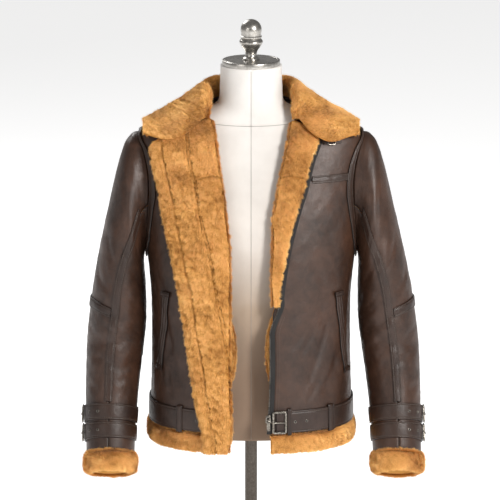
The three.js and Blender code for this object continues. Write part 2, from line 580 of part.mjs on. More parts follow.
// Middle of the collar at place u round it and v from the neck seam (-1) by the roll (0) to the
// edge (1): two straight stretches with a round turn between them, the leaf a little arched
function collarLine(u, v) {
  const w = Math.abs(u);
  const get = (column) => read(COLLAR, 'u', column, w);
  const neck = new THREE.Vector3(get('nx'), get('ny'), get('nz'));
  const peak = new THREE.Vector3(get('rx'), get('ry'), get('rz'));
  const edge = new THREE.Vector3(get('ex'), get('ey'), get('ez'));
  const down = neck.clone().sub(peak).normalize();
  const out = edge.clone().sub(peak).normalize();
  const corner = down.angleTo(out) / 2;
  const start = peak.clone().addScaledVector(down, ROLL.radius / Math.tan(corner));
  const end = peak.clone().addScaledVector(out, ROLL.radius / Math.tan(corner));
  const centre = down.add(out).normalize().multiplyScalar(ROLL.radius / Math.sin(corner)).add(peak);
  let p;
  if (v < -ROLL.reach) {
    p = start.lerp(neck, (-v - ROLL.reach) / (1 - ROLL.reach));
  } else if (v > ROLL.reach) {
    const share = (v - ROLL.reach) / (1 - ROLL.reach);
    p = end.lerp(edge, share);
    p.z += get('loft') * Math.sin(Math.PI * share);
    p.y -= get('bow') * Math.sin(Math.PI * share);
  } else {
    const turn = Math.PI - 2 * corner;
    const share = (v + ROLL.reach) / (2 * ROLL.reach);
    p = start.sub(centre).multiplyScalar(Math.sin((1 - share) * turn) / Math.sin(turn))
      .addScaledVector(end.sub(centre), Math.sin(share * turn) / Math.sin(turn)).add(centre);
  }
  p.x *= Math.sign(u) || 1;
  return p;
}

function collar(u, v, off) {
  const side = collarLine(Math.min(u + 0.02, 1), v).sub(collarLine(Math.max(u - 0.02, -1), v));
  const down = collarLine(u, Math.min(v + 0.02, 1)).sub(collarLine(u, Math.max(v - 0.02, -1)));
  return collarLine(u, v).addScaledVector(side.cross(down).normalize(), off);
}

const COLLAR_ROWS = [-1, -0.5, -0.1, -0.03, 0.04, 0.11, 0.4, 0.7, 1];
function collarLayer(outer, inner) {
  return skin(spread(-1, 1, 20).map((u) => [
    ...COLLAR_ROWS.map((v) => collar(u, v, outer)),
    ...[...COLLAR_ROWS].reverse().map((v) => collar(u, v, inner))]));
}
add('collar_fur', collarLayer(7, -4), FUR());
add('collar_leather', collarLayer(-4.6, -6.4), LEATHER());

// Short strap and buckle under the collar's left leaf
const strapFace = (s, across, out) => body(angleAt(s, 541), 541 + across, out);
add('collar_strap', carry(spread(129, 160, 4), flat(14, ON_HIDE, ON_HIDE + 2), strapFace), TRIM());
mount('collar_buckle', buckle(15, 19, 2.4, 1.6, 14), seat(strapFace, 143, 0, ON_HIDE + 2.6),
  DARK_METAL());

// Zip: a tape beside each edge; the slider and its pull hang at the foot of the left one
const TAPE_SIZE = { width: 10, thick: 1.2 };
const tapeSection = flat(TAPE_SIZE.width, ON_HIDE, ON_HIDE + TAPE_SIZE.thick);

function leftTape(z, across, out) {
  const beside = Math.max(read(LEFT_FRONT, 'z', 'zip', z), read(LEFT_FRONT, 'z', 'fold', z) + 10.5) + 6;
  const edge = read(LEFT_FRONT, 'z', 'fold', z) - 2;
  const x = mix(edge, beside, THREE.MathUtils.smoothstep(z, FACING_FOOT - 60, FACING_FOOT));
  return body(angleAt(x + across, z), z, out);
}

const rightTape = (z, across, out) => (
  body(-angleAt(read(RIGHT_FRONT, 'z', 'zip', z) - 7 + across, z), z, out));
add('zip_tape_left', carry(spread(24, 540, 34), tapeSection, leftTape), TAPE());
add('zip_tape_right', carry(spread(68, 526, 30), tapeSection, rightTape), TAPE());

const PIN = { radius: 1, out: 8.2, length: 6 };
const SLIDER = { x: 30, z: 52, thick: 5 };
const tapeFace = ON_HIDE + TAPE_SIZE.thick + GAP;
const slide = seat((s, across, out) => (
  body(angleAt(SLIDER.x + s * 50, SLIDER.z), SLIDER.z + across, out)), 0, 0, tapeFace);
const barrel = (r, length) => new THREE.CylinderGeometry(r, r, length, 10).rotateZ(Math.PI / 2);
const cheek = (x) => new THREE.BoxGeometry(1, 3.2, PIN.out).translate(x, 0, PIN.out / 2 + 1.4);
const slider = join(
  new THREE.BoxGeometry(9, 14, SLIDER.thick).translate(0, 0, SLIDER.thick / 2),
  barrel(PIN.radius, PIN.length).translate(0, 0, PIN.out),
  cheek(-PIN.length / 2 + 0.5), cheek(PIN.length / 2 - 0.5));
mount('zip_slider', slider, slide, DARK_METAL());
const eye = new THREE.Shape().absarc(0, 0, 2.6, 0, 2 * Math.PI);
eye.holes.push(new THREE.Path().absarc(0, 0, PIN.radius + 0.35, 0, 2 * Math.PI));
const knuckle = new THREE.ExtrudeGeometry(eye, { depth: 3, bevelEnabled: false, curveSegments: 6 });
knuckle.translate(0, 0, -1.5).rotateY(Math.PI / 2);
const TAB = { width: 7, top: -2.7, foot: -20, thick: 1.6 };
const tab = new THREE.BoxGeometry(TAB.width, TAB.top - TAB.foot, TAB.thick);
const neck = new THREE.BoxGeometry(3, 2, TAB.thick).translate(0, TAB.top + 0.4, 0);
const pull = join(knuckle, neck, tab.translate(0, (TAB.top + TAB.foot) / 2, 0));
const hang = slide.clone().multiply(new THREE.Matrix4().makeTranslation(0, 0, PIN.out));
mount('zip_pull', pull, hang, DARK_METAL());

// Dress form: a smooth torso, from its lower edge to the neck. Under the shoulders its rings are
// the jacket's own rings lowered by the wall, so that the jacket rests on it.
const TORSO = [
  { z: 0, wide: 150, deep: 104 }, { z: 60, wide: 151, deep: 106 }, { z: 150, wide: 137, deep: 97 },
  { z: 260, wide: 148, deep: 106 }, { z: 350, wide: 162, deep: 108 }, { z: 420, wide: 168, deep: 98 },
  { z: 480, wide: 170, deep: 82 }, { z: 525, wide: 168, deep: 66 }, { z: 546, wide: 162, deep: 57 },
  { z: 558, wide: 152, deep: 53 }, { z: 570, wide: 132.2, deep: 51 }, { z: 580, wide: 108, deep: 50 },
  { z: 588, wide: 82, deep: 50 }, { z: 602, wide: 60, deep: 50 }, { z: 630, wide: 56, deep: 50 },
  { z: 667.7, wide: 55, deep: 50 },
];
function torso(f, z) {
  const k = 2 / 2.1;
  return new THREE.Vector3(read(TORSO, 'z', 'wide', z) * power(Math.sin(f), k),
    4 * THREE.MathUtils.smoothstep(z, 300, 560) - read(TORSO, 'z', 'deep', z) * power(Math.cos(f), k), z);
}
const TORSO_HEIGHTS = [0, 80, 160, 240, 320, 400, 470, 520, 546, 558, 570, 580, 588, 602, 630, 667.7];
add('form_torso', skin(TORSO_HEIGHTS.map((z) => (
  spread(-Math.PI / 2, 1.5 * Math.PI, 24).slice(0, -1).map((f) => torso(f + 0.11, z))))), CANVAS());

const NECK_CAP = { radius: 52, low: 668, high: 677.4 };
const lathe = (profile, n) => new THREE.LatheGeometry(
  profile.map(([r, z]) => new THREE.Vector2(r, z)), n).rotateX(Math.PI / 2);
add('neck_cap', lathe([[0, NECK_CAP.low], [NECK_CAP.radius - 0.6, NECK_CAP.low],
  [NECK_CAP.radius, NECK_CAP.low + 0.8], [NECK_CAP.radius, NECK_CAP.high - 1],
  [NECK_CAP.radius - 1, NECK_CAP.high], [0, NECK_CAP.high]], 28), NICKEL()).position.y = 4;

// Finial: foot, slim waist, two beads and a ball
const BALL = { radius: 19, middle: 731.5 };
const ballArc = spread(-48, 90, 6).map((a) => (
  [Math.max(0, BALL.radius * Math.cos(rad(a))), BALL.middle + BALL.radius * Math.sin(rad(a))]));
add('finial', lathe([[0, 677.7], [15, 677.7], [15, 680], [11, 684], [10.5, 690], [12.5, 695],
  [18, 703], [21, 709], [20.5, 713], [17.8, 717], [19.5, 718.5], [19.5, 720.5], ...ballArc.slice(1, -1),
  [0, BALL.middle + BALL.radius]], 18), NICKEL()).position.y = 4;

const POLE_RADIUS = 11.2;
const BASE = { radius: 145, thick: 9 };
add('base_plate', lathe([[0, 0], [BASE.radius - 1, 0], [BASE.radius, 1], [BASE.radius, BASE.thick - 2],
  [BASE.radius - 2, BASE.thick], [20, BASE.thick], [17, BASE.thick + 14], [0, BASE.thick + 14]], 32),
BRONZE(), group);
add('pole', lathe([[0, BASE.thick + 14.3], [POLE_RADIUS, BASE.thick + 14.3],
  [POLE_RADIUS, STAND_HEIGHT - GAP], [0, STAND_HEIGHT - GAP]], 16), BRONZE(), group);

export default group;
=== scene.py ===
# %% [markdown]
# # A shearling coat on a dress form
# The coat is brown leather outside and ginger sheep's wool inside, worn open on a form with no
# limbs. Its solids are already packed. This lesson dresses them: each solid is swapped for a finer
# surface that lies in the same place, and each surface gets its own finish.

import bpy
import numpy as np
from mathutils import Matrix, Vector


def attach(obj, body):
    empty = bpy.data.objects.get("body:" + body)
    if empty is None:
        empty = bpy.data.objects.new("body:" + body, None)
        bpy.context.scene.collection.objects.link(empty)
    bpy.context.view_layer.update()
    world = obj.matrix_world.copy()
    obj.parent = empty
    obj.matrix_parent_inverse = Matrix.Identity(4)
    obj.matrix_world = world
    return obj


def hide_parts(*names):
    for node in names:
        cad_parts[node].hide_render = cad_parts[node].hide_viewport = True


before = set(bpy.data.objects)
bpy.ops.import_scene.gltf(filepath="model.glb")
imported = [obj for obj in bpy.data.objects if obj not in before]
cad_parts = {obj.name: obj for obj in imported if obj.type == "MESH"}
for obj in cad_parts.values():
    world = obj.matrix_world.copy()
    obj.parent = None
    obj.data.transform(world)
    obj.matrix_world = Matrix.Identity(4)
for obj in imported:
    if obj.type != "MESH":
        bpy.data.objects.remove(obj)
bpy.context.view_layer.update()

# %% [markdown]
# ## Camera and room
# The picture was taken from a little above with a long lens, so lines hardly converge. A long
# lens far away does the same here. One picture unit covers 1.8 mm of the coat.

# %% Camera
STAND = 300.0  # height of the form's lower edge; every table below starts there
MM_PER_PIXEL = 1.8
PICTURE = 500
LOOK_DOWN = np.radians(12.0)
DISTANCE = 12.0
aim = Vector((-0.002, 0.0, 0.6294))
camera_data = bpy.data.cameras.new("camera")
camera_data.sensor_width = 36.0
camera_data.lens = 36.0 * DISTANCE / (PICTURE * MM_PER_PIXEL / 1000)
camera_data.clip_end = 60.0
camera = bpy.data.objects.new("camera", camera_data)
bpy.context.scene.collection.objects.link(camera)
camera.location = aim + Vector((0, -np.cos(LOOK_DOWN), np.sin(LOOK_DOWN))) * DISTANCE
camera.rotation_euler = (aim - camera.location).to_track_quat("-Z", "Y").to_euler()
bpy.context.scene.camera = camera
print("lens", round(camera_data.lens), "mm")

# %% [markdown]
# ## Curves through tables
# A tailor draws a smooth curve through a few measured points. `read` does that for a table: the
# rows hold the measured places, and a cubic joins them with slopes taken from the rows beside.


# %% Smooth curve through a table
def read(rows, column, at):
    """Cubic between rows: its slope at a row is the rise over run of the rows on each side."""
    keys, values = rows[:, 0], rows[:, column]
    last = len(keys) - 1
    ends = np.arange(last + 1)
    low, high = np.maximum(ends - 1, 0), np.minimum(ends + 1, last)
    slopes = (values[high] - values[low]) / (keys[high] - keys[low])
    at = np.asarray(at, float)
    i = np.searchsorted(keys[1:-1], at, side="left")
    run = keys[i + 1] - keys[i]
    u = np.clip((at - keys[i]) / run, 0, 1)
    bend = u * u * (3 - 2 * u)
    return (values[i] * (1 - bend) + values[i + 1] * bend
            + run * slopes[i] * u * (1 - u) ** 2 - run * slopes[i + 1] * u * u * (1 - u))


def power(value, exponent):
    """Power that keeps the sign."""
    return np.sign(value) * np.abs(value) ** exponent


def unit(v):
    """Arrows scaled to length one."""
    return v / np.maximum(np.linalg.norm(v, axis=-1, keepdims=True), 1e-9)


def mix(a, b, share):
    """a where share is 0, b where it is 1."""
    return a + (b - a) * share


def smooth(value, low, high):
    """0 below low, 1 above high, an S between."""
    u = np.clip((np.asarray(value, float) - low) / (high - low), 0, 1)
    return u * u * (3 - 2 * u)


print("half way from 0 to 4:", read(np.array([[0, 0], [1, 4.0]]), 1, 0.5))

# %% [markdown]
# ## Folds and ripples
# Soft hide hangs in broad folds with finer creases across them. A fold is a trough along a line
# that falls off like a bell on both sides. Ripples are many small sine waves in all directions,
# so that no stretch of hide is perfectly smooth.


# %% Folds and ripples
def troughs(folds, u, v, u_scale, v_scale):
    """Depth at (u, v): the sum over folds of deep times a bell of the distance beside its line."""
    total = np.zeros(np.broadcast(u, v).shape)
    for u0, v0, u1, v1, half, deep in folds:
        x0, y0, x1, y1 = u0 * u_scale, v0 * v_scale, u1 * u_scale, v1 * v_scale
        length = np.hypot(x1 - x0, y1 - y0)
        along = ((u * u_scale - x0) * (x1 - x0) + (v * v_scale - y0) * (y1 - y0)) / length
        beside = ((u * u_scale - x0) * (y1 - y0) - (v * v_scale - y0) * (x1 - x0)) / length
        end = np.maximum(0, np.abs(along / length - 0.5) - 0.3) * length
        total += deep * np.exp(-(beside ** 2 + 0.6 * end ** 2) / half ** 2)
    return total


def wave_set(seed, count, shortest, longest, height):
    """Random plane waves; a longer one is taller, in proportion to its length."""
    rng = np.random.default_rng(seed)
    length = np.exp(rng.uniform(np.log(shortest), np.log(longest), count))
    heading = rng.uniform(0, np.pi, count)
    return [(2 * np.pi / size * np.cos(a), 2 * np.pi / size * np.sin(a), p, height * size / longest)
            for size, a, p in zip(length, heading, rng.uniform(0, 2 * np.pi, count))]


def ripple(waves, a, b):
    """Sum of the waves at the place (a, b), in millimetres."""
    return sum(tall * np.sin(ka * a + kb * b + phase) for ka, kb, phase, tall in waves)


HIDE_RIPPLE = wave_set(3, 26, 9, 46, 0.24)
print("ripple at a point:", round(float(ripple(HIDE_RIPPLE, 10.0, 20.0)), 3), "mm")

# %% [markdown]
# ## The coat's body
# The body is a stack of rounded rings. Half width, half depth and middle come from one table, and
# a point on the hide is found by its angle round the body and its height.

# %% The body's surface
HIDE, SLEEVE_WALL, ON_HIDE, ON_SLEEVE, STRIP = 8.0, 6.0, 0.8, 1.5, 1.6
SQUARE = 2.3
BODY = np.array([  # height, half width, half depth, middle
    [-20, 182, 146, -2], [60, 181, 146, -2], [160, 179, 142, 0], [250, 180, 136, 0],
    [332, 187, 128, 0], [400, 194, 118, 2], [470, 199, 100, 3], [520, 203, 84, 4],
    [547, 200, 72, 4], [562, 172, 66, 5], [583, 122, 62, 6], [600, 80, 60, 6]], float)
BODY_FOLDS = [  # from angle and height, to angle and height, half width, depth
    (55, 255, 28, 95, 24, 3.5), (66, 190, 44, 75, 20, 2.5), (-62, 235, -44, 95, 22, 3),
    (-78, 300, -70, 110, 20, 2.5), (84, 300, 78, 120, 20, 2.5), (118, 330, 134, 110, 26, 3),
    (152, 400, 144, 130, 28, 3.5), (196, 300, 186, 80, 26, 3), (222, 390, 230, 100, 28, 3.5),
    (250, 320, 240, 140, 24, 2.5)]
BODY_CREASES = [
    (47, 262, 24, 150, 7, 1.6), (52, 236, 30, 96, 6, 1.5), (60, 150, 40, 84, 6, 1.3),
    (36, 230, 20, 172, 6, 1.2), (44, 130, 30, 76, 5, 1.1), (70, 330, 48, 300, 8, 1.2),
    (30, 330, 44, 290, 7, 1.0), (72, 250, 64, 180, 6, 1.2), (58, 410, 40, 372, 7, 1.1),
    (-60, 250, -50, 150, 7, 1.5), (-70, 200, -58, 92, 6, 1.4), (-66, 300, -54, 262, 7, 1.1),
    (-78, 380, -66, 330, 8, 1.2), (-56, 130, -50, 80, 5, 1.1), (-74, 160, -66, 100, 6, 1.2),
    (96, 390, 110, 300, 8, 1.4), (104, 250, 118, 140, 7, 1.4), (126, 200, 112, 90, 7, 1.3),
    (150, 330, 168, 250, 8, 1.3), (166, 230, 150, 120, 8, 1.4), (180, 380, 196, 300, 8, 1.2),
    (204, 260, 190, 130, 8, 1.4), (216, 420, 230, 340, 8, 1.3), (236, 260, 246, 130, 7, 1.4),
    (254, 390, 246, 300, 8, 1.4), (262, 200, 252, 90, 7, 1.2), (140, 100, 160, 74, 6, 1.1),
    (186, 110, 206, 76, 6, 1.1), (84, 100, 74, 72, 5, 1.0), (-84, 110, -78, 74, 5, 1.0)]
MM_PER_DEGREE = 2.9
BELT_HEIGHT = 45.5


def ring(t, z):
    """Rounded ring: x is half width times sin t and y half depth times cos t, both to 2 / 2.3."""
    x = read(BODY, 1, z) * power(np.sin(t), 2 / SQUARE)
    y = read(BODY, 3, z) - read(BODY, 2, z) * power(np.cos(t), 2 / SQUARE)
    return np.stack(np.broadcast_arrays(x, y, z), -1)


def body(t, z, off=0.0, creased=1.0):
    """Ring point moved along its normal by off, less the folds' depth there."""
    t, z, off = np.broadcast_arrays(*(np.asarray(a, float) for a in (t, z, off)))
    round_ = ring(t + 0.004, z) - ring(t - 0.004, z)
    up = ring(t, z + 0.5) - ring(t, z - 0.5)
    turn = (np.degrees(t) + 450) % 360 - 90
    sink = troughs(BODY_FOLDS, turn, z, MM_PER_DEGREE, 1)
    calm = 1.25 * creased * (0.3 + 0.7 * smooth(np.abs(z - BELT_HEIGHT), 24, 44)) * (1 - smooth(z, 470, 545))
    sink = sink + calm * (troughs(BODY_CREASES, turn, z, MM_PER_DEGREE, 1)
                          + 0.35 * ripple(HIDE_RIPPLE, turn * MM_PER_DEGREE, z))
    return ring(t, z) + unit(np.cross(round_, up)) * (off - sink)[..., None]


def angle_at(x, z):
    """Angle at which the ring reaches x on the front."""
    return np.arcsin(np.minimum(1, power(x / read(BODY, 1, z), SQUARE / 2)))


ARM = {"middle": 439.5, "half": 107.5, "front": 50.0, "back": 55.0, "shift": 4.0}


def armhole_angle(z, back):
    """Angle of the armhole's oval edge; the side seam above and below it."""
    rise = (np.asarray(z, float) - ARM["middle"]) / ARM["half"]
    reach = np.sqrt(np.clip(1 - rise ** 2, 0, 1))
    y = ARM["shift"] + (ARM["back"] if back else -ARM["front"]) * reach
    share = np.abs(y - read(BODY, 3, z)) / read(BODY, 2, z)
    short = np.arccos(np.minimum(share, 1) ** (SQUARE / 2))
    return np.pi / 2 + (1 if back else -1) * (np.pi / 2 - short) * np.minimum(1, reach * 3)


print("chest, front to back:", round(float(np.ptp(ring(np.array([0, np.pi]), 400.0)[:, 1]))), "mm")

# %% [markdown]
# ## The sleeves
# Each sleeve is a stack of ovals from the armhole down to the cuff. It leans forward a little
# towards the hand, and the wearer's left one hangs slightly further out.

# %% A sleeve's surface
SLEEVE = np.array([  # ring, outer x and z, inner x and z, half depth, middle, lean
    [0, 201.2, 547, 188.2, 332, 52.5, 6.5, 0], [1, 213, 543, 190, 329, 61, 6, 0],
    [2, 227, 524, 191.5, 324, 69, 6, 0], [3, 241, 478, 192.5, 316, 74, 5, 0],
    [4, 256, 412, 192.5, 303, 76, 5, 0], [5, 267, 362, 191, 284, 75, 5, 0],
    [6, 276, 316, 189.5, 258, 73, 4, 1], [7, 284, 270, 188.5, 226, 71, 3, 2],
    [8, 290, 226, 189.5, 192, 68, 1, 4], [9, 294.5, 184, 193, 160, 65, -1, 7],
    [10, 297, 142, 197, 128, 62, -6, 11], [11, 298, 98, 201.5, 90, 59, -15, 15],
    [12, 298, 54, 205.5, 50, 56, -27, 19], [13, 297.5, 10, 208.5, 8, 52, -42, 21],
    [14, 297, -33, 210, -33, 49, -57, 22]], float)
SWING = np.array([[0, 0], [4, 0.5], [8, 4.5], [14, 9.5]], float)
SLEEVE_FOLDS = [
    (40, 3.2, 95, 4.6, 20, 3), (120, 5.2, 165, 6.6, 16, 3), (60, 7.6, 150, 8.4, 15, 3.5),
    (30, 9.6, 120, 9.0, 15, 3), (100, 10.6, 160, 10.0, 13, 2.5), (200, 8.8, 262, 8.2, 16, 3),
    (215, 6.4, 275, 7.0, 16, 2.5)]
SLEEVE_CREASES = [
    (50, 2.6, 84, 3.5, 6, 1.5), (118, 3.2, 150, 4.4, 6, 1.6), (28, 4.6, 70, 5.6, 7, 1.4),
    (95, 6.4, 150, 7.4, 6, 1.7), (20, 6.4, 66, 6.9, 6, 1.3), (110, 7.2, 172, 7.7, 6, 1.7),
    (56, 8.4, 120, 9.0, 6, 1.6), (10, 8.6, 62, 9.3, 6, 1.3), (104, 8.8, 160, 9.7, 6, 1.5),
    (40, 10.0, 100, 10.5, 6, 1.4), (96, 11.2, 150, 10.7, 6, 1.3), (14, 11.2, 64, 11.6, 6, 1.1),
    (196, 7.2, 250, 7.9, 6, 1.5), (210, 9.6, 270, 9.0, 6, 1.4), (300, 3.4, 330, 5.0, 7, 1.3),
    (280, 6.0, 335, 6.8, 6, 1.4), (285, 9.6, 340, 9.0, 6, 1.3), (200, 4.8, 240, 5.6, 6, 1.4)]
SLEEVE_MM_PER_DEGREE, SLEEVE_MM_PER_RING = 1.05, 43.0


def armhole_x(y, z):
    """How far out the body is at depth y and height z."""
    share = np.minimum(np.abs((y - read(BODY, 3, z)) / read(BODY, 2, z)), 1)
    return read(BODY, 1, z) * (1 - share ** SQUARE) ** (1 / SQUARE)


def sleeve(side, f, s, off=0.0, creased=1.0):
    """Oval point at angle f from the outer line round by the front, at ring s down the arm."""
    f, s, off = np.broadcast_arrays(*(np.asarray(a, float) for a in (f, s, off)))
    swing = read(SWING, 1, s) if side > 0 else 0.0
    zero = np.zeros(f.shape)
    outer = np.stack([read(SLEEVE, 1, s) + swing, zero, read(SLEEVE, 2, s)], -1)
    inner = np.stack([read(SLEEVE, 3, s) + swing, zero, read(SLEEVE, 4, s)], -1)
    middle = (outer + inner) / 2
    middle[..., 1] = read(SLEEVE, 6, s)
    wide = np.linalg.norm(outer - inner, axis=-1) / 2
    across = unit(outer - inner)
    lean = np.radians(read(SLEEVE, 7, s))
    front = np.stack([zero, -np.cos(lean), np.sin(lean)], -1)
    turn = (np.degrees(f) + 360) % 360
    calm = creased * smooth(s, 0.3, 1.6) * (1 - 0.8 * smooth(s, 11.6, 12.3))
    grow = off - troughs(SLEEVE_FOLDS, turn, s, SLEEVE_MM_PER_DEGREE, SLEEVE_MM_PER_RING) - calm * (
        troughs(SLEEVE_CREASES, turn, s, SLEEVE_MM_PER_DEGREE, SLEEVE_MM_PER_RING)
        + 0.6 * ripple(HIDE_RIPPLE, turn * SLEEVE_MM_PER_DEGREE + 90 * side, s * SLEEVE_MM_PER_RING))
    p = (middle + across * ((wide + grow) * np.cos(f))[..., None]
         + front * ((read(SLEEVE, 5, s) + grow) * np.sin(f))[..., None])
    fade = np.maximum(0, 1 - s / 4) ** 2
    sine = np.abs(np.sin(f))
    y = ARM["shift"] + np.where(np.sin(f) > 0, -ARM["front"], ARM["back"]) * sine
    z = ARM["middle"] + ARM["half"] * np.cos(f) * 0.999
    plane = mix(188.2, 201.2, (1 + np.cos(f)) / 2)
    p[..., 0] += (armhole_x(y, z) - plane + 0.9) * fade
    p[..., 1] = mix(p[..., 1], y - np.sign(np.sin(f)) * sine * off, fade)
    p[..., 0] *= side
    return p


print("cuff at", np.round(sleeve(1, 0.0, 14.0), 1))

# %% [markdown]
# ## Meshes from loops
# Every piece is a row of loops that follow each other. A loop runs out along the face that shows
# and back along the hidden one, so the mesh closes by itself. Only the two ends need caps.


# %% Closed meshes from loops
def skin(loops, closed=False):
    """Quads between neighbouring loops; end caps pair the loop's halves. Faces point outwards."""
    n, m, _ = loops.shape
    index = np.arange(n * m).reshape(n, m)
    right = np.roll(index, -1, 1)
    below, corner = np.roll(index, -1, 0), np.roll(right, -1, 0)
    keep = slice(None) if closed else slice(0, n - 1)
    quads = np.stack([index[keep], right[keep], corner[keep], below[keep]], -1).reshape(-1, 4)
    if not closed:
        j = np.arange(m // 2 - 1)
        cap = np.stack([j, m - 1 - j, m - 2 - j, j + 1], -1)
        quads = np.concatenate([quads, cap, (n - 1) * m + cap[:, ::-1]])
    points = loops.reshape(-1, 3)
    a, b, c, d = (points[quads[:, k]] - points.mean(0) for k in range(4))
    volume = (a * np.cross(b, c)).sum() + (a * np.cross(c, d)).sum()
    return points, quads if volume > 0 else quads[:, ::-1]


def solid(name, points, faces, finishes, marks=None, sharp=None, stand=STAND):
    """Mesh object in metres. marks names one number a point for the material to read."""
    name = name + "_fine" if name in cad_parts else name
    mesh = bpy.data.meshes.new(name)
    lifted = (np.asarray(points, float) + [0, 0, stand]) / 1000
    faces = np.asarray(faces)
    mesh.vertices.add(len(lifted))
    mesh.vertices.foreach_set("co", lifted.ravel())
    mesh.loops.add(faces.size)
    mesh.loops.foreach_set("vertex_index", faces.ravel().astype(np.int32))
    mesh.polygons.add(len(faces))
    mesh.polygons.foreach_set("loop_start", np.arange(0, faces.size, faces.shape[1], dtype=np.int32))
    mesh.update(calc_edges=True)
    mesh.polygons.foreach_set("use_smooth", np.ones(len(faces), bool))
    if sharp:
        mesh.set_sharp_from_angle(angle=np.radians(sharp))
    for label, values in (marks or {}).items():
        mesh.attributes.new(label, "FLOAT", "POINT").data.foreach_set(
            "value", np.broadcast_to(values, len(lifted)).astype(np.float32))
    for finish in finishes:
        mesh.materials.append(finish)
    obj = bpy.data.objects.new(name, mesh)
    bpy.context.scene.collection.objects.link(obj)
    return obj


def slab(place, us, vs, outer, inner):
    """Loops of a cloth wall: one loop a row, out along the outer face, back along the inner."""
    u, v = np.meshgrid(us, vs)
    return np.concatenate([place(u, v, outer), place(u, v, inner)[:, ::-1]], 1)


def fractions(count, length, near=(1.0, 2.2, 3.6, 5.5, 8.0)):
    """Even steps from 0 to 1 with extra ones a few millimetres from each end."""
    close = np.array(near) / length
    even = np.linspace(0, 1, count + 1)
    even = even[(even == 0) | (even == 1) | ((even > close[-1] * 1.2) & (even < 1 - close[-1] * 1.2))]
    return np.unique(np.concatenate([even, close, 1 - close]))


print("steps:", len(fractions(20, 150)))

# %% [markdown]
# ## Finishes
# A finish is a small network of nodes. Leather has a pebbled grain a millimetre or so across, a
# gloss that changes with handling, and lighter brown where edges rub. Each network reads the
# object's own coordinates, so the grain keeps its real size on every piece.


# %% A helper for node networks
def network(name):
    """New material with its shader; returns it, its tree and the shader node."""
    material = bpy.data.materials.new(name)
    material.use_nodes = True
    tree = material.node_tree
    return material, tree, tree.nodes["Principled BSDF"]


def put(tree, kind, inputs=None, **settings):
    """New node with its settings; an input is a number, a colour or another node's socket."""
    node = tree.nodes.new(kind)
    for key, value in settings.items():
        setattr(node, key, value)
    for key, value in (inputs or {}).items():
        if isinstance(value, bpy.types.NodeSocket):
            tree.links.new(value, node.inputs[key])
        else:
            node.inputs[key].default_value = value
    return node


def ramp(tree, fac, *stops):
    """Colour ramp with (place, colour) stops."""
    node = put(tree, "ShaderNodeValToRGB", {"Fac": fac})
    elements = node.color_ramp.elements
    while len(elements) < len(stops):
        elements.new(0.5)
    for element, (place, colour) in zip(elements, stops):
        element.position, element.color = place, (*colour, 1)
    return node.outputs["Color"]


def blend_colour(tree, fac, a, b, kind="MIX"):
    """Mix of two colours by fac."""
    node = put(tree, "ShaderNodeMix", data_type="RGBA", blend_type=kind)
    for socket, value in ((node.inputs[0], fac), (node.inputs[6], a), (node.inputs[7], b)):
        if isinstance(value, bpy.types.NodeSocket):
            tree.links.new(value, socket)
        else:
            socket.default_value = (*value, 1) if hasattr(value, "__len__") else value
    return node.outputs[2]


def maths(tree, operation, a, b=0.0, c=0.0):
    """One arithmetic step."""
    return put(tree, "ShaderNodeMath", {0: a, 1: b, 2: c}, operation=operation).outputs[0]


# %% Shared pattern: hide grain
def make_grain_group():
    """Height and tone of a pebbled hide: cells at Scale, smaller ones inside, and soft creasing."""
    group = bpy.data.node_groups.new("hide grain", "ShaderNodeTree")
    group.interface.new_socket("Scale", in_out="INPUT", socket_type="NodeSocketFloat")
    group.interface.new_socket("Height", in_out="OUTPUT", socket_type="NodeSocketFloat")
    group.interface.new_socket("Tone", in_out="OUTPUT", socket_type="NodeSocketFloat")
    start, end = group.nodes.new("NodeGroupInput"), group.nodes.new("NodeGroupOutput")
    place = put(group, "ShaderNodeTexCoord").outputs["Object"]
    warp = put(group, "ShaderNodeTexNoise", {"Vector": place, "Scale": 160.0, "Detail": 3.0})
    bent = put(group, "ShaderNodeVectorMath", {0: warp.outputs["Color"], 1: (0.004, 0.004, 0.004)},
               operation="MULTIPLY")
    where = put(group, "ShaderNodeVectorMath", {0: place, 1: bent.outputs[0]}, operation="ADD").outputs[0]
    cells = put(group, "ShaderNodeTexVoronoi", {"Vector": where, "Scale": start.outputs["Scale"]},
                feature="DISTANCE_TO_EDGE").outputs["Distance"]
    pebble = maths(group, "MINIMUM", maths(group, "MULTIPLY", cells, 3.0), 1.0)
    crinkle = put(group, "ShaderNodeTexNoise", {"Vector": place, "Scale": 95.0, "Detail": 6.0,
                                                "Roughness": 0.62, "Distortion": 0.7}).outputs["Fac"]
    broad = put(group, "ShaderNodeTexNoise", {"Vector": place, "Scale": 16.0, "Detail": 4.0,
                                              "Roughness": 0.6}).outputs["Fac"]
    height = maths(group, "ADD", maths(group, "MULTIPLY", pebble, 0.22), maths(group, "MULTIPLY", crinkle, 1.3))
    group.links.new(height, end.inputs["Height"])
    group.links.new(maths(group, "ADD", maths(group, "MULTIPLY", broad, 0.7),
                          maths(group, "MULTIPLY", crinkle, 0.3)), end.inputs["Tone"])
    return group


GRAIN = make_grain_group()


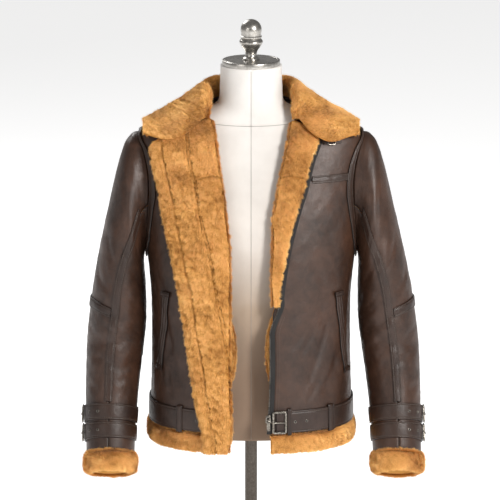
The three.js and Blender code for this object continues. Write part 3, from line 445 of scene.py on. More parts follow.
def make_leather(name, dark, light, rubbed, gloss, scale=620.0):
    """Brown hide: tone between dark and light by the grain. The wear_and_shade mark is a little rubbed
    where it is above 0; where it is below, it paints shade nearly black into seams, grooves and undersides."""
    material, tree, shader = network(name)
    grain = put(tree, "ShaderNodeGroup", node_tree=GRAIN)
    grain.inputs["Scale"].default_value = scale
    colour = ramp(tree, grain.outputs["Tone"], (0.36, dark), (0.66, light))
    wear_and_shade = put(tree, "ShaderNodeAttribute", attribute_name="wear_and_shade").outputs["Fac"]
    patch = put(tree, "ShaderNodeTexNoise", {"Scale": 130.0, "Detail": 5.0}).outputs["Fac"]
    rub = maths(tree, "MULTIPLY", wear_and_shade, put(tree, "ShaderNodeMapRange", {
        "Value": patch, "From Min": 0.4, "From Max": 0.7}).outputs["Result"])
    # Painted shade: a mark below 0 turns the hide nearly black, where seams and grooves fall into shadow.
    seam_shade_share = put(tree, "ShaderNodeMapRange", {"Value": wear_and_shade, "From Min": -0.9, "From Max": -0.1,
                                            "To Min": 0.85, "To Max": 0.0}).outputs["Result"]
    rubbed_colour = blend_colour(tree, maths(tree, "MAXIMUM", rub, 0.0), colour, rubbed)
    tree.links.new(blend_colour(tree, seam_shade_share, rubbed_colour, (0.004, 0.0025, 0.002)), shader.inputs["Base Color"])
    rough = put(tree, "ShaderNodeMapRange", {"Value": grain.outputs["Tone"], "From Min": 0.35,
                                             "From Max": 0.7, "To Min": gloss + 0.1, "To Max": gloss - 0.06})
    tree.links.new(rough.outputs["Result"], shader.inputs["Roughness"])
    bump = put(tree, "ShaderNodeBump", {"Height": grain.outputs["Height"], "Strength": 0.5, "Distance": 0.0007})
    tree.links.new(bump.outputs["Normal"], shader.inputs["Normal"])
    shader.inputs["Specular IOR Level"].default_value = 0.42
    return material


leather = make_leather("brown hide", (0.019, 0.0080, 0.0040), (0.060, 0.027, 0.0155), (0.10, 0.052, 0.033), 0.41)
trim_leather = make_leather("trim hide", (0.016, 0.0070, 0.0040), (0.040, 0.020, 0.013),
                            (0.10, 0.055, 0.036), 0.36, 760.0)
print("leathers:", leather.name, trim_leather.name)


# %% Wool, canvas, metal and thread
def make_wool(name, root, middle, tip):
    """Wool: dark at the root, bright at the tip, with brown patches and lighter locks."""
    material, tree, shader = network(name)
    height = put(tree, "ShaderNodeAttribute", attribute_name="height").outputs["Fac"]
    tuft = put(tree, "ShaderNodeAttribute", attribute_name="tuft").outputs["Fac"]
    # Heights below the root's 0.3 come only from seams; there the near-black stop is painted shade in the seam's
    # valley.
    along = ramp(tree, height, (0.02, (0.05, 0.02, 0.006)), (0.3, root), (0.6, middle), (1.0, tip))
    place = put(tree, "ShaderNodeTexCoord").outputs["Object"]
    patch = put(tree, "ShaderNodeTexNoise", {"Vector": place, "Scale": 17.0, "Detail": 3.0,
                                             "Roughness": 0.55, "Distortion": 0.4}).outputs["Fac"]
    fine = put(tree, "ShaderNodeTexNoise", {"Vector": place, "Scale": 120.0, "Detail": 3.0}).outputs["Fac"]
    tone = maths(tree, "ADD", maths(tree, "MULTIPLY", tuft, 0.34), maths(tree, "ADD", maths(
        tree, "MULTIPLY", patch, 0.98), maths(tree, "MULTIPLY", fine, 0.14)))
    shade = ramp(tree, tone, (0.50, (0.60, 0.47, 0.37)), (0.69, (0.94, 0.91, 0.86)), (0.9, (1.10, 1.18, 1.4)))
    tree.links.new(blend_colour(tree, 1.0, along, shade, "MULTIPLY"), shader.inputs["Base Color"])
    shader.inputs["Roughness"].default_value = 0.8
    shader.inputs["Specular IOR Level"].default_value = 0.22
    shader.inputs["Sheen Weight"].default_value = 0.25
    shader.inputs["Sheen Roughness"].default_value = 0.45
    shader.inputs["Sheen Tint"].default_value = (1.0, 0.82, 0.55, 1)
    return material


wool = make_wool("ginger wool", (0.36, 0.145, 0.026), (0.74, 0.36, 0.082), (0.98, 0.61, 0.215))


def make_woven(name, dark, light, threads, rough, depth, *painted_shade_stops):
    """Plain weave: two sets of fine waves across each other, with a soft mottle in the colour.
    painted_shade_stops are (height in metres, colour) stops that darken the cloth towards the ground: painted shade,
    where the lower form stands in the coat's shadow."""
    material, tree, shader = network(name)
    place = put(tree, "ShaderNodeTexCoord").outputs["Object"]
    sets = [put(tree, "ShaderNodeTexWave", {"Vector": place, "Scale": threads, "Distortion": 0.6, "Detail": 1.0},
                bands_direction=way).outputs["Fac"] for way in ("X", "Z")]
    weave = maths(tree, "MULTIPLY", *sets)
    mottle = put(tree, "ShaderNodeTexNoise", {"Vector": place, "Scale": 22.0, "Detail": 5.0}).outputs["Fac"]
    tone = maths(tree, "ADD", maths(tree, "MULTIPLY", weave, 0.25), maths(tree, "MULTIPLY", mottle, 0.75))
    colour = ramp(tree, tone, (0.25, dark), (0.7, light))
    if painted_shade_stops:
        height = put(tree, "ShaderNodeSeparateXYZ", {"Vector": place}).outputs["Z"]
        colour = blend_colour(tree, 1.0, colour, ramp(tree, height, *painted_shade_stops), "MULTIPLY")
    tree.links.new(colour, shader.inputs["Base Color"])
    shader.inputs["Roughness"].default_value = rough
    bump = put(tree, "ShaderNodeBump", {"Height": weave, "Strength": 0.3, "Distance": depth})
    tree.links.new(bump.outputs["Normal"], shader.inputs["Normal"])
    return material


# The stops paint shade into the form's cloth: darker and browner towards the ground, inside the coat.
canvas = make_woven("form canvas", (0.68, 0.655, 0.63), (0.80, 0.78, 0.755), 420.0, 0.9, 0.0003,
                    (0.30, (0.30, 0.215, 0.155)), (0.42, (0.33, 0.235, 0.17)), (0.54, (0.50, 0.40, 0.31)),
                    (0.66, (0.80, 0.77, 0.74)), (0.90, (0.90, 0.895, 0.89)))
tape_weave = make_woven("zip tape", (0.004, 0.0035, 0.0035), (0.014, 0.0125, 0.012), 500.0, 0.8, 0.0003)
thread = make_woven("waxed thread", (0.045, 0.030, 0.022), (0.12, 0.082, 0.060), 900.0, 0.6, 0.0001)
piping = make_woven("form seam", (0.20, 0.19, 0.18), (0.34, 0.32, 0.30), 600.0, 0.9, 0.0002)


def make_metal(name, dark, light, rough, brushed=None):
    """Metal: tone and gloss change in patches; brushed stretches the scratches along one way."""
    material, tree, shader = network(name)
    place = put(tree, "ShaderNodeTexCoord").outputs["Object"]
    lines = put(tree, "ShaderNodeMapping", {"Vector": place, "Scale": brushed or (1, 1, 1)}).outputs["Vector"]
    scratch = put(tree, "ShaderNodeTexNoise", {"Vector": lines, "Scale": 90.0, "Detail": 6.0}).outputs["Fac"]
    patch = put(tree, "ShaderNodeTexNoise", {"Vector": place, "Scale": 240.0, "Detail": 4.0}).outputs["Fac"]
    tree.links.new(ramp(tree, patch, (0.35, dark), (0.65, light)), shader.inputs["Base Color"])
    gloss = put(tree, "ShaderNodeMapRange", {"Value": scratch, "From Min": 0.3, "From Max": 0.7,
                                             "To Min": rough - 0.07, "To Max": rough + 0.09})
    tree.links.new(gloss.outputs["Result"], shader.inputs["Roughness"])
    bump = put(tree, "ShaderNodeBump", {"Height": scratch, "Strength": 0.25, "Distance": 0.0001})
    tree.links.new(bump.outputs["Normal"], shader.inputs["Normal"])
    shader.inputs["Metallic"].default_value = 1.0
    return material


nickel = make_metal("brushed nickel", (0.36, 0.34, 0.31), (0.50, 0.48, 0.45), 0.30, (1, 1, 14))
bronze = make_metal("dark bronze", (0.075, 0.064, 0.054), (0.10, 0.087, 0.075), 0.26, (12, 12, 1))
dark_metal = make_metal("antique nickel", (0.10, 0.088, 0.075), (0.30, 0.275, 0.24), 0.27)
print("finishes:", len(bpy.data.materials))

# %% [markdown]
# ## Hide panels
# A panel is cut flat and then shaped by its seams. Near a seam the hide turns down into it, so
# each panel's edge is lowered over the last few millimetres. Inside is the wool of the same skin,
# and on the cut edge both are seen.

# %% Dressing a solid
COAT, PULL = "coat_and_form", "zip_pull"
cuts = {}


def dress(obj, slot, *nodes, rides=COAT):
    """The new surface stands for these solids, which are hidden, and hangs from the body named rides. slot is not
    used.
    """
    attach(obj, rides)
    if nodes:
        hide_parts(*nodes)
    return obj


def arc(points, axis):
    """Mean length of a grid's lines along one axis."""
    return float(np.linalg.norm(np.diff(points, axis=axis), axis=-1).sum(axis).mean())


def cut(obj, face):
    """States the flat cut of a sheet from its even face: mean width, mean length, true area."""
    if min(arc(face, 0), arc(face, 1)) < 10:
        return obj
    a, b, c, d = face[:-1, :-1], face[:-1, 1:], face[1:, 1:], face[1:, :-1]
    area = (np.linalg.norm(np.cross(c - a, d - b), axis=-1) / 2).sum() / 1e6
    size = np.array([arc(face, 1), arc(face, 0)]) / 1000
    size *= max(1.0, np.sqrt(area / size.prod()))
    cuts[obj.name] = (*size.round(3), round(area, 4))
    min(area, size.prod())
    return obj


def edge_fall(us, vs, width, length, deep=1.3, reach=2.4, sides=(1, 1, 1, 1)):
    """How far the hide turns down near each edge: deep times a bell of the distance to it."""
    u, v = np.meshgrid(us, vs)
    far = 1e6
    gaps = [np.where(on, gap, far) for on, gap in zip(
        sides, (u * width, (1 - u) * width, v * length, (1 - v) * length))]
    return deep * np.exp(-(np.minimum.reduce(gaps) / reach) ** 2)


# %% Fronts, yokes and back
GAP = 0.3
HEM_LOW, HEM_HIGH, NECKLINE, YOKE = -13.0, 21.5, 596.0, 475.0
SEAM = 0.0009
RIGHT_FRONT = np.array([  # height, x of the fold, x of the turned-back zip edge
    [-5, 40, 82], [27, 36, 85], [93, 37, 98], [170, 38, 109], [257, 38, 122], [303, 38, 130],
    [358, 39, 141], [412, 45, 153], [455, 50, 161], [499, 57, 171], [540, 63, 178],
    [579, 70, 182], [596, 79, 182]], float)
LEFT_FRONT = np.array([
    [-5, 35, 35], [27, 35, 36], [93, 39, 41], [170, 40, 43], [257, 38, 47], [303, 37, 52],
    [358, 38, 62], [412, 41, 76], [455, 47, 90], [499, 57, 101], [540, 66, 116],
    [579, 72, 128], [596, 79, 128]], float)
EDGE_WRAP, FACING_FOOT = 6.5, 262.0


def front_edge(side, z):
    """x of a front's free edge: the fold, further in where wool wraps round it."""
    wrapped = smooth(z, FACING_FOOT - 26, FACING_FOOT) if side > 0 else 1.0
    return read(LEFT_FRONT if side > 0 else RIGHT_FRONT, 1, z) + EDGE_WRAP * wrapped


def front_place(side):
    """Place on a front: u from its free edge to the side, z its height."""
    def place(u, z, off):
        start = angle_at(front_edge(side, z), z)
        end = np.maximum(armhole_angle(z, False) - SEAM, start + 0.02)
        return body(side * mix(start, end, u), z, off)
    return place


def back_place(u, z, off):
    """Place on the back: u from the wearer's left side round to the right."""
    start = armhole_angle(z, True) + SEAM
    return body(mix(start, 2 * np.pi - start, u), z, off)


def panel(name, place, low, high, width, steps, rows, sides=(1, 1, 1, 1), wall=HIDE):
    """One hide panel between two heights, outer face lowered at the edges marked in sides."""
    us, vs = fractions(steps, width), fractions(rows, high - low)
    zs = mix(low, high, vs)
    fall = edge_fall(us, vs, width, high - low, sides=sides)
    loops = slab(place, us, zs, -fall, -wall)
    n = len(us)
    points, faces = skin(loops)
    seam_shade_mark = np.zeros(loops.shape[:2])
    # Painted shade: the hide is painted darker where its edge turns down into a seam.
    seam_shade_mark[:, :n] = -smooth(fall, 0.62, 1.1)
    obj = solid(name, points, faces, [leather, wool], {"wear_and_shade": seam_shade_mark.ravel(), "height": 0.35, "tuft": 0.4})
    dress(obj, "leather", name)
    inner = np.zeros(len(faces), np.int32)
    inside = np.tile(np.arange(2 * n) >= n - 1, len(vs) - 1)
    inner[:len(inside)] = inside
    obj.data.polygons.foreach_set("material_index", inner)
    u, v = np.meshgrid(np.linspace(0, 1, 12), np.linspace(low, high, 12))
    return cut(obj, place(u, v, -wall / 2))


FRONT_LOW = HEM_HIGH + GAP
for side, name in ((1, "left"), (-1, "right")):
    panel(f"front_{name}", front_place(side), FRONT_LOW, YOKE - GAP / 2, 170, 52, 80)
    panel(f"front_yoke_{name}", front_place(side), YOKE + GAP / 2, NECKLINE, 130, 32, 32)
panel("back_panel", back_place, FRONT_LOW, NECKLINE, 430, 90, 96)
print("panels:", {k: v for k, v in cuts.items()})

# %% [markdown]
# ## Straps, bands and strips
# A leather strip is a flat band with rounded edges and a row of stitching pressed into it near
# each edge. Its section is drawn once and carried along a line on the hide.


# %% Strips carried along a line
def strap_section(width, inner, outer, groove=0.6, inset=2.2, crown=0.35):
    """Points across a strap: edges rounded like a quarter circle, a groove at each stitch row."""
    a = np.unique(np.concatenate([np.linspace(-1, 1, 7) * width / 2,
                                  *(s * (width / 2 - inset + np.array([-0.9, 0, 0.9]))
                                    for s in (-1, 1)),
                                  *(s * (width / 2 - np.array([0, 0.15, 0.5])) for s in (-1, 1))]))
    rest = width / 2 - np.abs(a)
    soft = min(1.0, (outer - inner) * 0.6)
    round_off = soft * (1 - np.sqrt(np.clip(1 - (1 - np.clip(rest / soft, 0, 1)) ** 2, 0, 1)))
    high = outer + crown * (1 - (2 * a / width) ** 2) - round_off - groove * np.exp(
        -((rest - inset) / 0.55) ** 2)
    top = np.stack([a, high], 1)
    bottom = np.stack([a[::-1], np.full(len(a), inner)], 1)
    # Wear and painted shade: rubbed a little just inside each edge; painted shade in the stitch grooves, at the very
    # edge and over the whole underside.
    wear_and_shade = np.exp(-((rest - 0.9) / 0.5) ** 2) * 0.6 - np.exp(-((rest - inset) / 0.6) ** 2) - (rest < 0.2)
    wear_and_shade = np.concatenate([wear_and_shade, np.full(len(a), -1.0)])
    return np.concatenate([top, bottom]), wear_and_shade


def strap(name, steps, section, place, slot="trim_leather", finish=None, closed=False, nodes=None,
          width=None):
    """A section carried along steps on a surface; place gives a point for step, across and out."""
    profile, wear_and_shade = section
    s, k = np.meshgrid(steps, np.arange(len(profile)), indexing="ij")
    loops = place(s, profile[k, 0], profile[k, 1])
    points, faces = skin(loops, closed)
    obj = solid(name, points, faces, [finish or trim_leather],
                {"wear_and_shade": np.tile(wear_and_shade, len(steps)), "height": 0.4, "tuft": 0.4}, sharp=60)
    dress(obj, slot, *(nodes or [name]))
    half = len(profile) // 2
    return cut(obj, loops[:, :half])


def yoke_strip_place(side):
    """Place on the strip over a yoke seam."""
    return lambda t, across, out: body(side * t, YOKE + across, out)


for side, name, start in ((1, "left", 109), (-1, "right", 167)):
    steps = np.linspace(angle_at(start, YOKE), armhole_angle(YOKE, False) - 0.118, 32)
    strap(f"yoke_strip_{name}", steps, strap_section(13, ON_HIDE, ON_HIDE + STRIP), yoke_strip_place(side))

POCKETS = {"left": (1, 156, 268, 170, 122), "right": (-1, 152, 268, 165, 128)}
WELT = 21


def welt_place(side, x0, z0, x1, z1):
    """Place on a slanted pocket welt: s from its top to its foot."""
    def place(s, across, out):
        z = mix(z0, z1, s)
        return body(side * (angle_at(mix(x0, x1, s), z) + np.radians(across / MM_PER_DEGREE)), z, out)
    return place


for name, where in POCKETS.items():
    place = welt_place(*where)
    strap(f"pocket_welt_{name}", np.linspace(0, 1, 48), strap_section(
        WELT, ON_HIDE + 0.4, ON_HIDE + 2.6, inset=6.5), place)
    for end, s in (("top", 0.012), ("foot", 0.988)):
        tab = strap_section(10, ON_HIDE + 2.4, ON_HIDE + 3.9, inset=2.0)
        across = np.linspace(-WELT / 2 - 3, WELT / 2 + 3, 10)
        strap(f"pocket_tab_{end}_{name}", across, tab,
              lambda a, up, out, s=s, place=place: place(s + up / 147, a, out), nodes=["pocket_welt_" + name])

BELT = {"width": 40.0, "out": 2.6}


def belt_place(t, across, out):
    """Place on the waist belt: t round the body, across its width."""
    return body(t, BELT_HEIGHT + across, out, 0.0)


belt_section = strap_section(BELT["width"], ON_HIDE, ON_HIDE + BELT["out"], inset=3.4)
round_to = lambda x: angle_at(x, BELT_HEIGHT)
QUARTER = np.pi / 2
strap("belt_left", np.linspace(round_to(45), QUARTER - SEAM, 48), belt_section, belt_place)
strap("belt_right", np.linspace(-QUARTER + SEAM, -round_to(60), 48), belt_section, belt_place)
strap("belt_back", np.linspace(QUARTER + SEAM, 3 * QUARTER - SEAM, 96), belt_section, belt_place)


def belt_loop(name, t, width, lift_more=0.0):
    """A band over the belt: an arch along a squared oval, carried across its width."""
    reach, lift = BELT["width"] / 2 + 3, ON_HIDE + BELT["out"] + 0.5 + lift_more
    a = np.linspace(0, np.pi, 29)
    up = reach * power(np.cos(a), 0.22)
    out = 0.7 + (lift - 0.7) * np.abs(np.sin(a)) ** 0.3
    line = np.stack([up, out], 1)
    heading = np.gradient(line, axis=0)
    sideways = unit(np.stack([heading[:, 1], -heading[:, 0]], 1))
    sideways *= np.sign(sideways[len(a) // 2, 1])
    profile, wear_and_shade = strap_section(width, 0.0, STRIP, inset=2.0)
    s, k = np.meshgrid(np.arange(len(a)), np.arange(len(profile)), indexing="ij")
    here = line[s] + sideways[s] * profile[k, 1][..., None]
    loops = belt_place(t + np.radians(profile[k, 0] / MM_PER_DEGREE), here[..., 0], here[..., 1])
    points, faces = skin(loops)
    obj = solid(name, points, faces, [trim_leather], {"wear_and_shade": np.tile(wear_and_shade, len(a))}, sharp=60)
    dress(obj, "trim_leather", name)
    if width < 10:
        return obj
    return cut(obj, loops[:, :len(profile) // 2])


for name, t, width in (("belt_loop_left", round_to(141), 15), ("belt_loop_right", -round_to(127), 14),
                       ("belt_loop_back_left", np.radians(135), 15),
                       ("belt_loop_back_right", np.radians(225), 15), ("belt_keeper", round_to(68), 7)):
    belt_loop(name, t, width)
print("strips and belts made")

# %% [markdown]
# ## Sleeve panels
# A sleeve has a top and an under panel. A raised strip covers the seam in front, and a short band
# crosses the elbow on the outside.

# %% Sleeves
FRONT_SEAM = np.array([[0, 100], [3, 107], [5, 92], [7, 84], [14, 86]], float)
BACK_SEAM, SLEEVE_SEAM = -95.0, 0.0028
STRIP_WIDTH, ELBOW = 17.0, 7.75


def seam_angle(s):
    """Where the front seam runs round the sleeve."""
    return np.radians(read(FRONT_SEAM, 1, s))


def sleeve_panel(name, side, start, end, width):
    """One sleeve panel between two seams, down the whole arm."""
    place = lambda u, s, off: sleeve(side, mix(start(s), end(s), u), s, off)
    us = fractions(42, width)
    vs = np.unique(np.concatenate([np.linspace(0, 14, 112), 14 - np.array([1, 2.2, 3.6]) / SLEEVE_MM_PER_RING]))
    fall = edge_fall(us, vs / 14, width, 600)
    loops = slab(place, us, vs, -fall, -SLEEVE_WALL)
    n = len(us)
    points, faces = skin(loops)
    seam_shade_mark = np.zeros(loops.shape[:2])
    # Painted shade: the hide is painted darker where its edge turns down into a seam.
    seam_shade_mark[:, :n] = -smooth(fall, 0.62, 1.1)
    obj = solid(name, points, faces, [leather, wool], {"wear_and_shade": seam_shade_mark.ravel(), "height": 0.35, "tuft": 0.4})
    dress(obj, "leather", name)
    inner = np.zeros(len(faces), np.int32)
    inside = np.tile(np.arange(2 * n) >= n - 1, len(vs) - 1)
    inner[:len(inside)] = inside
    obj.data.polygons.foreach_set("material_index", inner)
    u, v = np.meshgrid(np.linspace(0, 1, 20), np.linspace(0, 14, 20))
    return cut(obj, place(u, v, -SLEEVE_WALL / 2))


CUFF_STRAPS = {"upper": 12.45, "lower": 13.19}


def cuff_place(side, at):
    """Place on a cuff strap: f round the sleeve, across its width."""
    return lambda f, across, out: sleeve(side, f, at - across / SLEEVE_MM_PER_RING, out, 0.0)


for side, name in ((1, "left"), (-1, "right")):
    back = lambda s: np.radians(BACK_SEAM) + SLEEVE_SEAM + 0 * s
    sleeve_panel(f"sleeve_top_{name}", side, back, lambda s: seam_angle(s) - SLEEVE_SEAM, 200)
    sleeve_panel(f"sleeve_under_{name}", side, lambda s: seam_angle(s) + SLEEVE_SEAM,
                 lambda s: back(s) + 2 * np.pi - 2 * SLEEVE_SEAM, 190)
    strap(f"sleeve_strip_{name}", np.linspace(1.5, 12.05, 105), strap_section(
        STRIP_WIDTH, ON_SLEEVE - 0.4, ON_SLEEVE + STRIP, inset=3.0), lambda s, across, out, side=side: sleeve(
            side, seam_angle(s) + np.radians(across / SLEEVE_MM_PER_DEGREE), s, out))
    beside = np.radians(STRIP_WIDTH / 2 / SLEEVE_MM_PER_DEGREE) + 0.02
    strap(f"elbow_band_{name}", np.linspace(np.radians(BACK_SEAM) + 0.05, seam_angle(ELBOW) - beside, 46),
          strap_section(18, ON_HIDE - 0.4, ON_HIDE + STRIP, inset=2.6), lambda f, across, out, side=side: sleeve(
              side, f, ELBOW - across / SLEEVE_MM_PER_RING, out))
    for level, at in CUFF_STRAPS.items():
        strap(f"cuff_strap_{level}_{name}", np.linspace(np.radians(-40), np.radians(172), 60),
              strap_section(28, ON_HIDE + 0.2, ON_HIDE + 2.8, inset=2.8), cuff_place(side, at))


def rim_place(side):
    """Place on the strip beside an armhole: the oval grown by across, at angle f."""
    def place(f, across, out):
        c = np.cos(f)
        grow = across * np.where(c > 0, mix(1, 0.4, c), 1)
        y = ARM["shift"] + np.where(np.sin(f) > 0, -(ARM["front"] + grow), ARM["back"] + grow) * np.abs(np.sin(f))
        z = ARM["middle"] + (ARM["half"] + grow) * c
        t = np.arctan2(power(armhole_x(y, z) / read(BODY, 1, z), SQUARE / 2),
                       power((read(BODY, 3, z) - y) / read(BODY, 2, z), SQUARE / 2))
        return body(side * t, z, out)
    return place


rim_section, rim_wear_and_shade = strap_section(11.6, 1.0, 1.6 + STRIP, inset=2.6, crown=0.6)
for side, name in ((1, "left"), (-1, "right")):
    strap(f"armhole_strip_{name}", np.linspace(0, 2 * np.pi, 121)[:-1],
          (rim_section + [8.2, 0], rim_wear_and_shade), rim_place(side), closed=True)
print("sleeves made;", len(cuts), "cuts stated")

# %% [markdown]
# ## Wool
# Shearling wool here is short and brushed: a dense plush that lies over to one side, with soft
# swirls and brown patches a few fingers wide. The base is a smooth padded body. On it stand many
# thousands of single thin faces that lean far over, so that they lie like combed pile and only the
# outline looks fuzzy. Each face knows its height and its lock, and the finish colours it by those.

# %% Plush that lies over
FLOW = wave_set(11, 16, 34, 95, 0.42)
LOCKS = wave_set(29, 26, 4.5, 15, 0.55)
PATCHES = wave_set(43, 14, 34, 90, 0.5)


def drift(waves, points):
    """Smooth random value in space: the waves read twice, along two slanted pairs of directions."""
    x, y, z = points[..., 0], points[..., 1], points[..., 2]
    return ripple(waves, x + 0.6 * y, z) + ripple(waves, y - 0.4 * x + 31, 0.8 * z + x * 0.3)


def lumps(points, tall):
    """Soft lumps in the base, tall times the patch waves at each place."""
    return tall * drift(PATCHES, points)


def grow_wool(name, loops, visible, count, length=7.5, lean=1.02, closed=False, seed=1, seam=None, broad=1.6,
              along=0.75, aside=0.0):
    """Blades on the quads of a loop mesh, each one face: two root corners and a tip.
    The tip leans down the loops and along them by the two given shares, turned by the drift waves.
    seam tells how near a place is to a sewn line: blades there are short, few, and painted dark as shade in the seam's
    valley."""
    rng = np.random.default_rng(seed)
    after = np.roll(loops, -1, 0) if closed else loops[1:]
    here = loops if closed else loops[:-1]
    right, corner = np.roll(here, -1, 1), np.roll(after, -1, 1)
    a, b, c, d = (g[:, visible].reshape(-1, 3) for g in (here, right, corner, after))
    cross = np.cross(c - a, d - b)
    area = np.linalg.norm(cross, axis=1) / 2
    full = np.cross(right - here, after - here).reshape(-1, 3)
    outward = np.sign(((here.reshape(-1, 3) - loops.reshape(-1, 3).mean(0)) * full).sum()) or 1.0
    normal = unit(cross) * outward
    quad = rng.choice(len(area), count, p=area / area.sum())
    s, t = rng.random((2, count, 1))
    root = (a[quad] * (1 - s) + b[quad] * s) * (1 - t) + (d[quad] * (1 - s) + c[quad] * s) * t
    near = seam(root) if seam else np.zeros(count)
    keep = rng.random(count) > 0.75 * near
    root, near, quad = root[keep], near[keep], quad[keep]
    count = len(root)
    n = normal[quad]
    down, across = unit(d[quad] + c[quad] - a[quad] - b[quad]), unit(b[quad] + c[quad] - a[quad] - d[quad])
    swirl = np.stack([drift(FLOW, root[:, [k, (k + 1) % 3, (k + 2) % 3]] + 40 * k) for k in range(3)], 1)
    lock = drift(LOCKS, root)[:, None]
    combed = along * down + aside * across + 0.24 * swirl + 0.26 * rng.normal(size=(count, 3)) \
        + 0.05 * lock * across
    combed = unit(combed - n * (combed * n).sum(1, keepdims=True))
    tall = length * (0.75 + 0.4 * rng.random((count, 1))) * (1 + 0.05 * lock) * (1 - 0.6 * near[:, None])
    bend = lean * (0.5 + 0.6 * rng.random((count, 1)) ** 0.6) - 0.05 * lock
    heading = n * np.cos(bend) + combed * np.sin(bend)
    sideways = unit(np.cross(n, combed) + 0.22 * n * rng.normal(size=(count, 1)))
    half = broad / 2 * (0.8 + 0.4 * rng.random((count, 1)))
    foot = root - n * 0.5
    corners = np.stack([foot - sideways * half, foot + sideways * half, root + heading * tall], 1)
    faces = np.arange(count * 3).reshape(-1, 3)
    # Painted shade: near a seam the height mark drops, so the finish paints those blades darker.
    lit = 1 - 0.75 * near
    shade = np.clip(0.5 + 0.09 * lock[:, 0] + 0.2 * rng.normal(size=count), 0, 1)
    obj = solid(name, corners.reshape(-1, 3), faces, [wool], {
        "height": (np.array([0.3, 0.3, 1.0])[None] * lit[:, None]).reshape(-1), "tuft": np.repeat(shade, 3)})
    return dress(obj, "fur")


def wool_base(name, loops, closed=False, nodes=None, seam=None):
    """The soft padded body under the blades, with painted shade along its seams."""
    points, faces = skin(loops, closed)
    near = seam(points) if seam else np.zeros(len(points))
    mesh = solid(name, points, faces, [wool], {"height": 0.48 * (1 - 0.9 * near), "tuft": 0.45})
    return dress(mesh, "fur", *(nodes or [name]))


def rounded_loop(count, low, high, inner, outer, square=3.4):
    """Squared oval section of a wool roll as (across, out) pairs, outer half first."""
    a = np.linspace(0, np.pi, count)
    across = (low + high) / 2 - (high - low) / 2 * power(np.cos(a), 2 / square)
    rise = (outer - inner) / 2 * np.abs(np.sin(a)) ** (2 / square)
    middle = (inner + outer) / 2
    return np.concatenate([np.stack([across, middle + rise], 1),
                           np.stack([across[::-1], middle - rise[::-1]], 1)])


# %% Hem and cuff wool
def wool_roll(name, steps, section, place, count, closed=False, half=0, **more):
    """A rounded roll of wool along a line, with its blades."""
    s, k = np.meshgrid(steps, np.arange(len(section)), indexing="ij")
    loops = place(s, section[k, 0], section[k, 1])
    base = wool_base(name, loops, closed)
    blades = grow_wool(name + "_pile", loops, np.arange(len(section) // 2 + half), count, closed=closed,
                       along=0.2, aside=-0.8, **more)
    cut(base, loops[:, :len(section) // 2])
    return base


hem_section = rounded_loop(16, HEM_LOW + 4.5, HEM_HIGH - 0.5, -13, 2.0)
hem_place = lambda t, z, out: body(t, z, out, 0.0)
wool_roll("hem_fur_left", np.linspace(angle_at(36, 0), QUARTER - SEAM, 70), hem_section, hem_place, 24000, seed=2)
wool_roll("hem_fur_back", np.linspace(QUARTER + SEAM, 3 * QUARTER - SEAM, 130), hem_section, hem_place,
          46000, seed=3)
wool_roll("hem_fur_right", np.linspace(-QUARTER + SEAM, -angle_at(88, 0), 50), hem_section, hem_place,
          18000, seed=4)


def cuff_fur_place(side):
    """Place on the wool past a sleeve's end: carried on along the arm from its last ring."""
    def place(f, across, out):
        at = sleeve(side, f, 14.0, out)
        step = unit(sleeve(side, f, 14.0, out) - sleeve(side, f, 13.5, out))
        return at - step * np.asarray(across)[..., None]
    return place


cuff_section = rounded_loop(20, -32, -1.0, -16, 2.4)
for side, name in ((1, "left"), (-1, "right")):
    wool_roll(f"cuff_fur_{name}", np.linspace(0, 2 * np.pi, 91)[:-1], cuff_section, cuff_fur_place(side),
              46000, closed=True, seed=5 + side, half=6)
print("hem and cuffs made")

# %% [markdown]
# ## Turned-back fronts
# The right front is folded back from its edge, so a broad panel of wool faces the front from the
# collar to the hem. Two seams cross its wool from top to bottom. The left one shows only a narrow
# facing.

# %% Lapel and facing
LAPEL = {"under": 4.2, "over": 17.0, "hem": -8.0}
GORGE_RIGHT = np.array([[0, 578], [0.3, 561], [0.6, 549], [0.85, 540], [1, 529]], float)
GORGE_LEFT = np.array([[0, 575], [0.5, 562], [0.9, 549], [1, 543]], float)


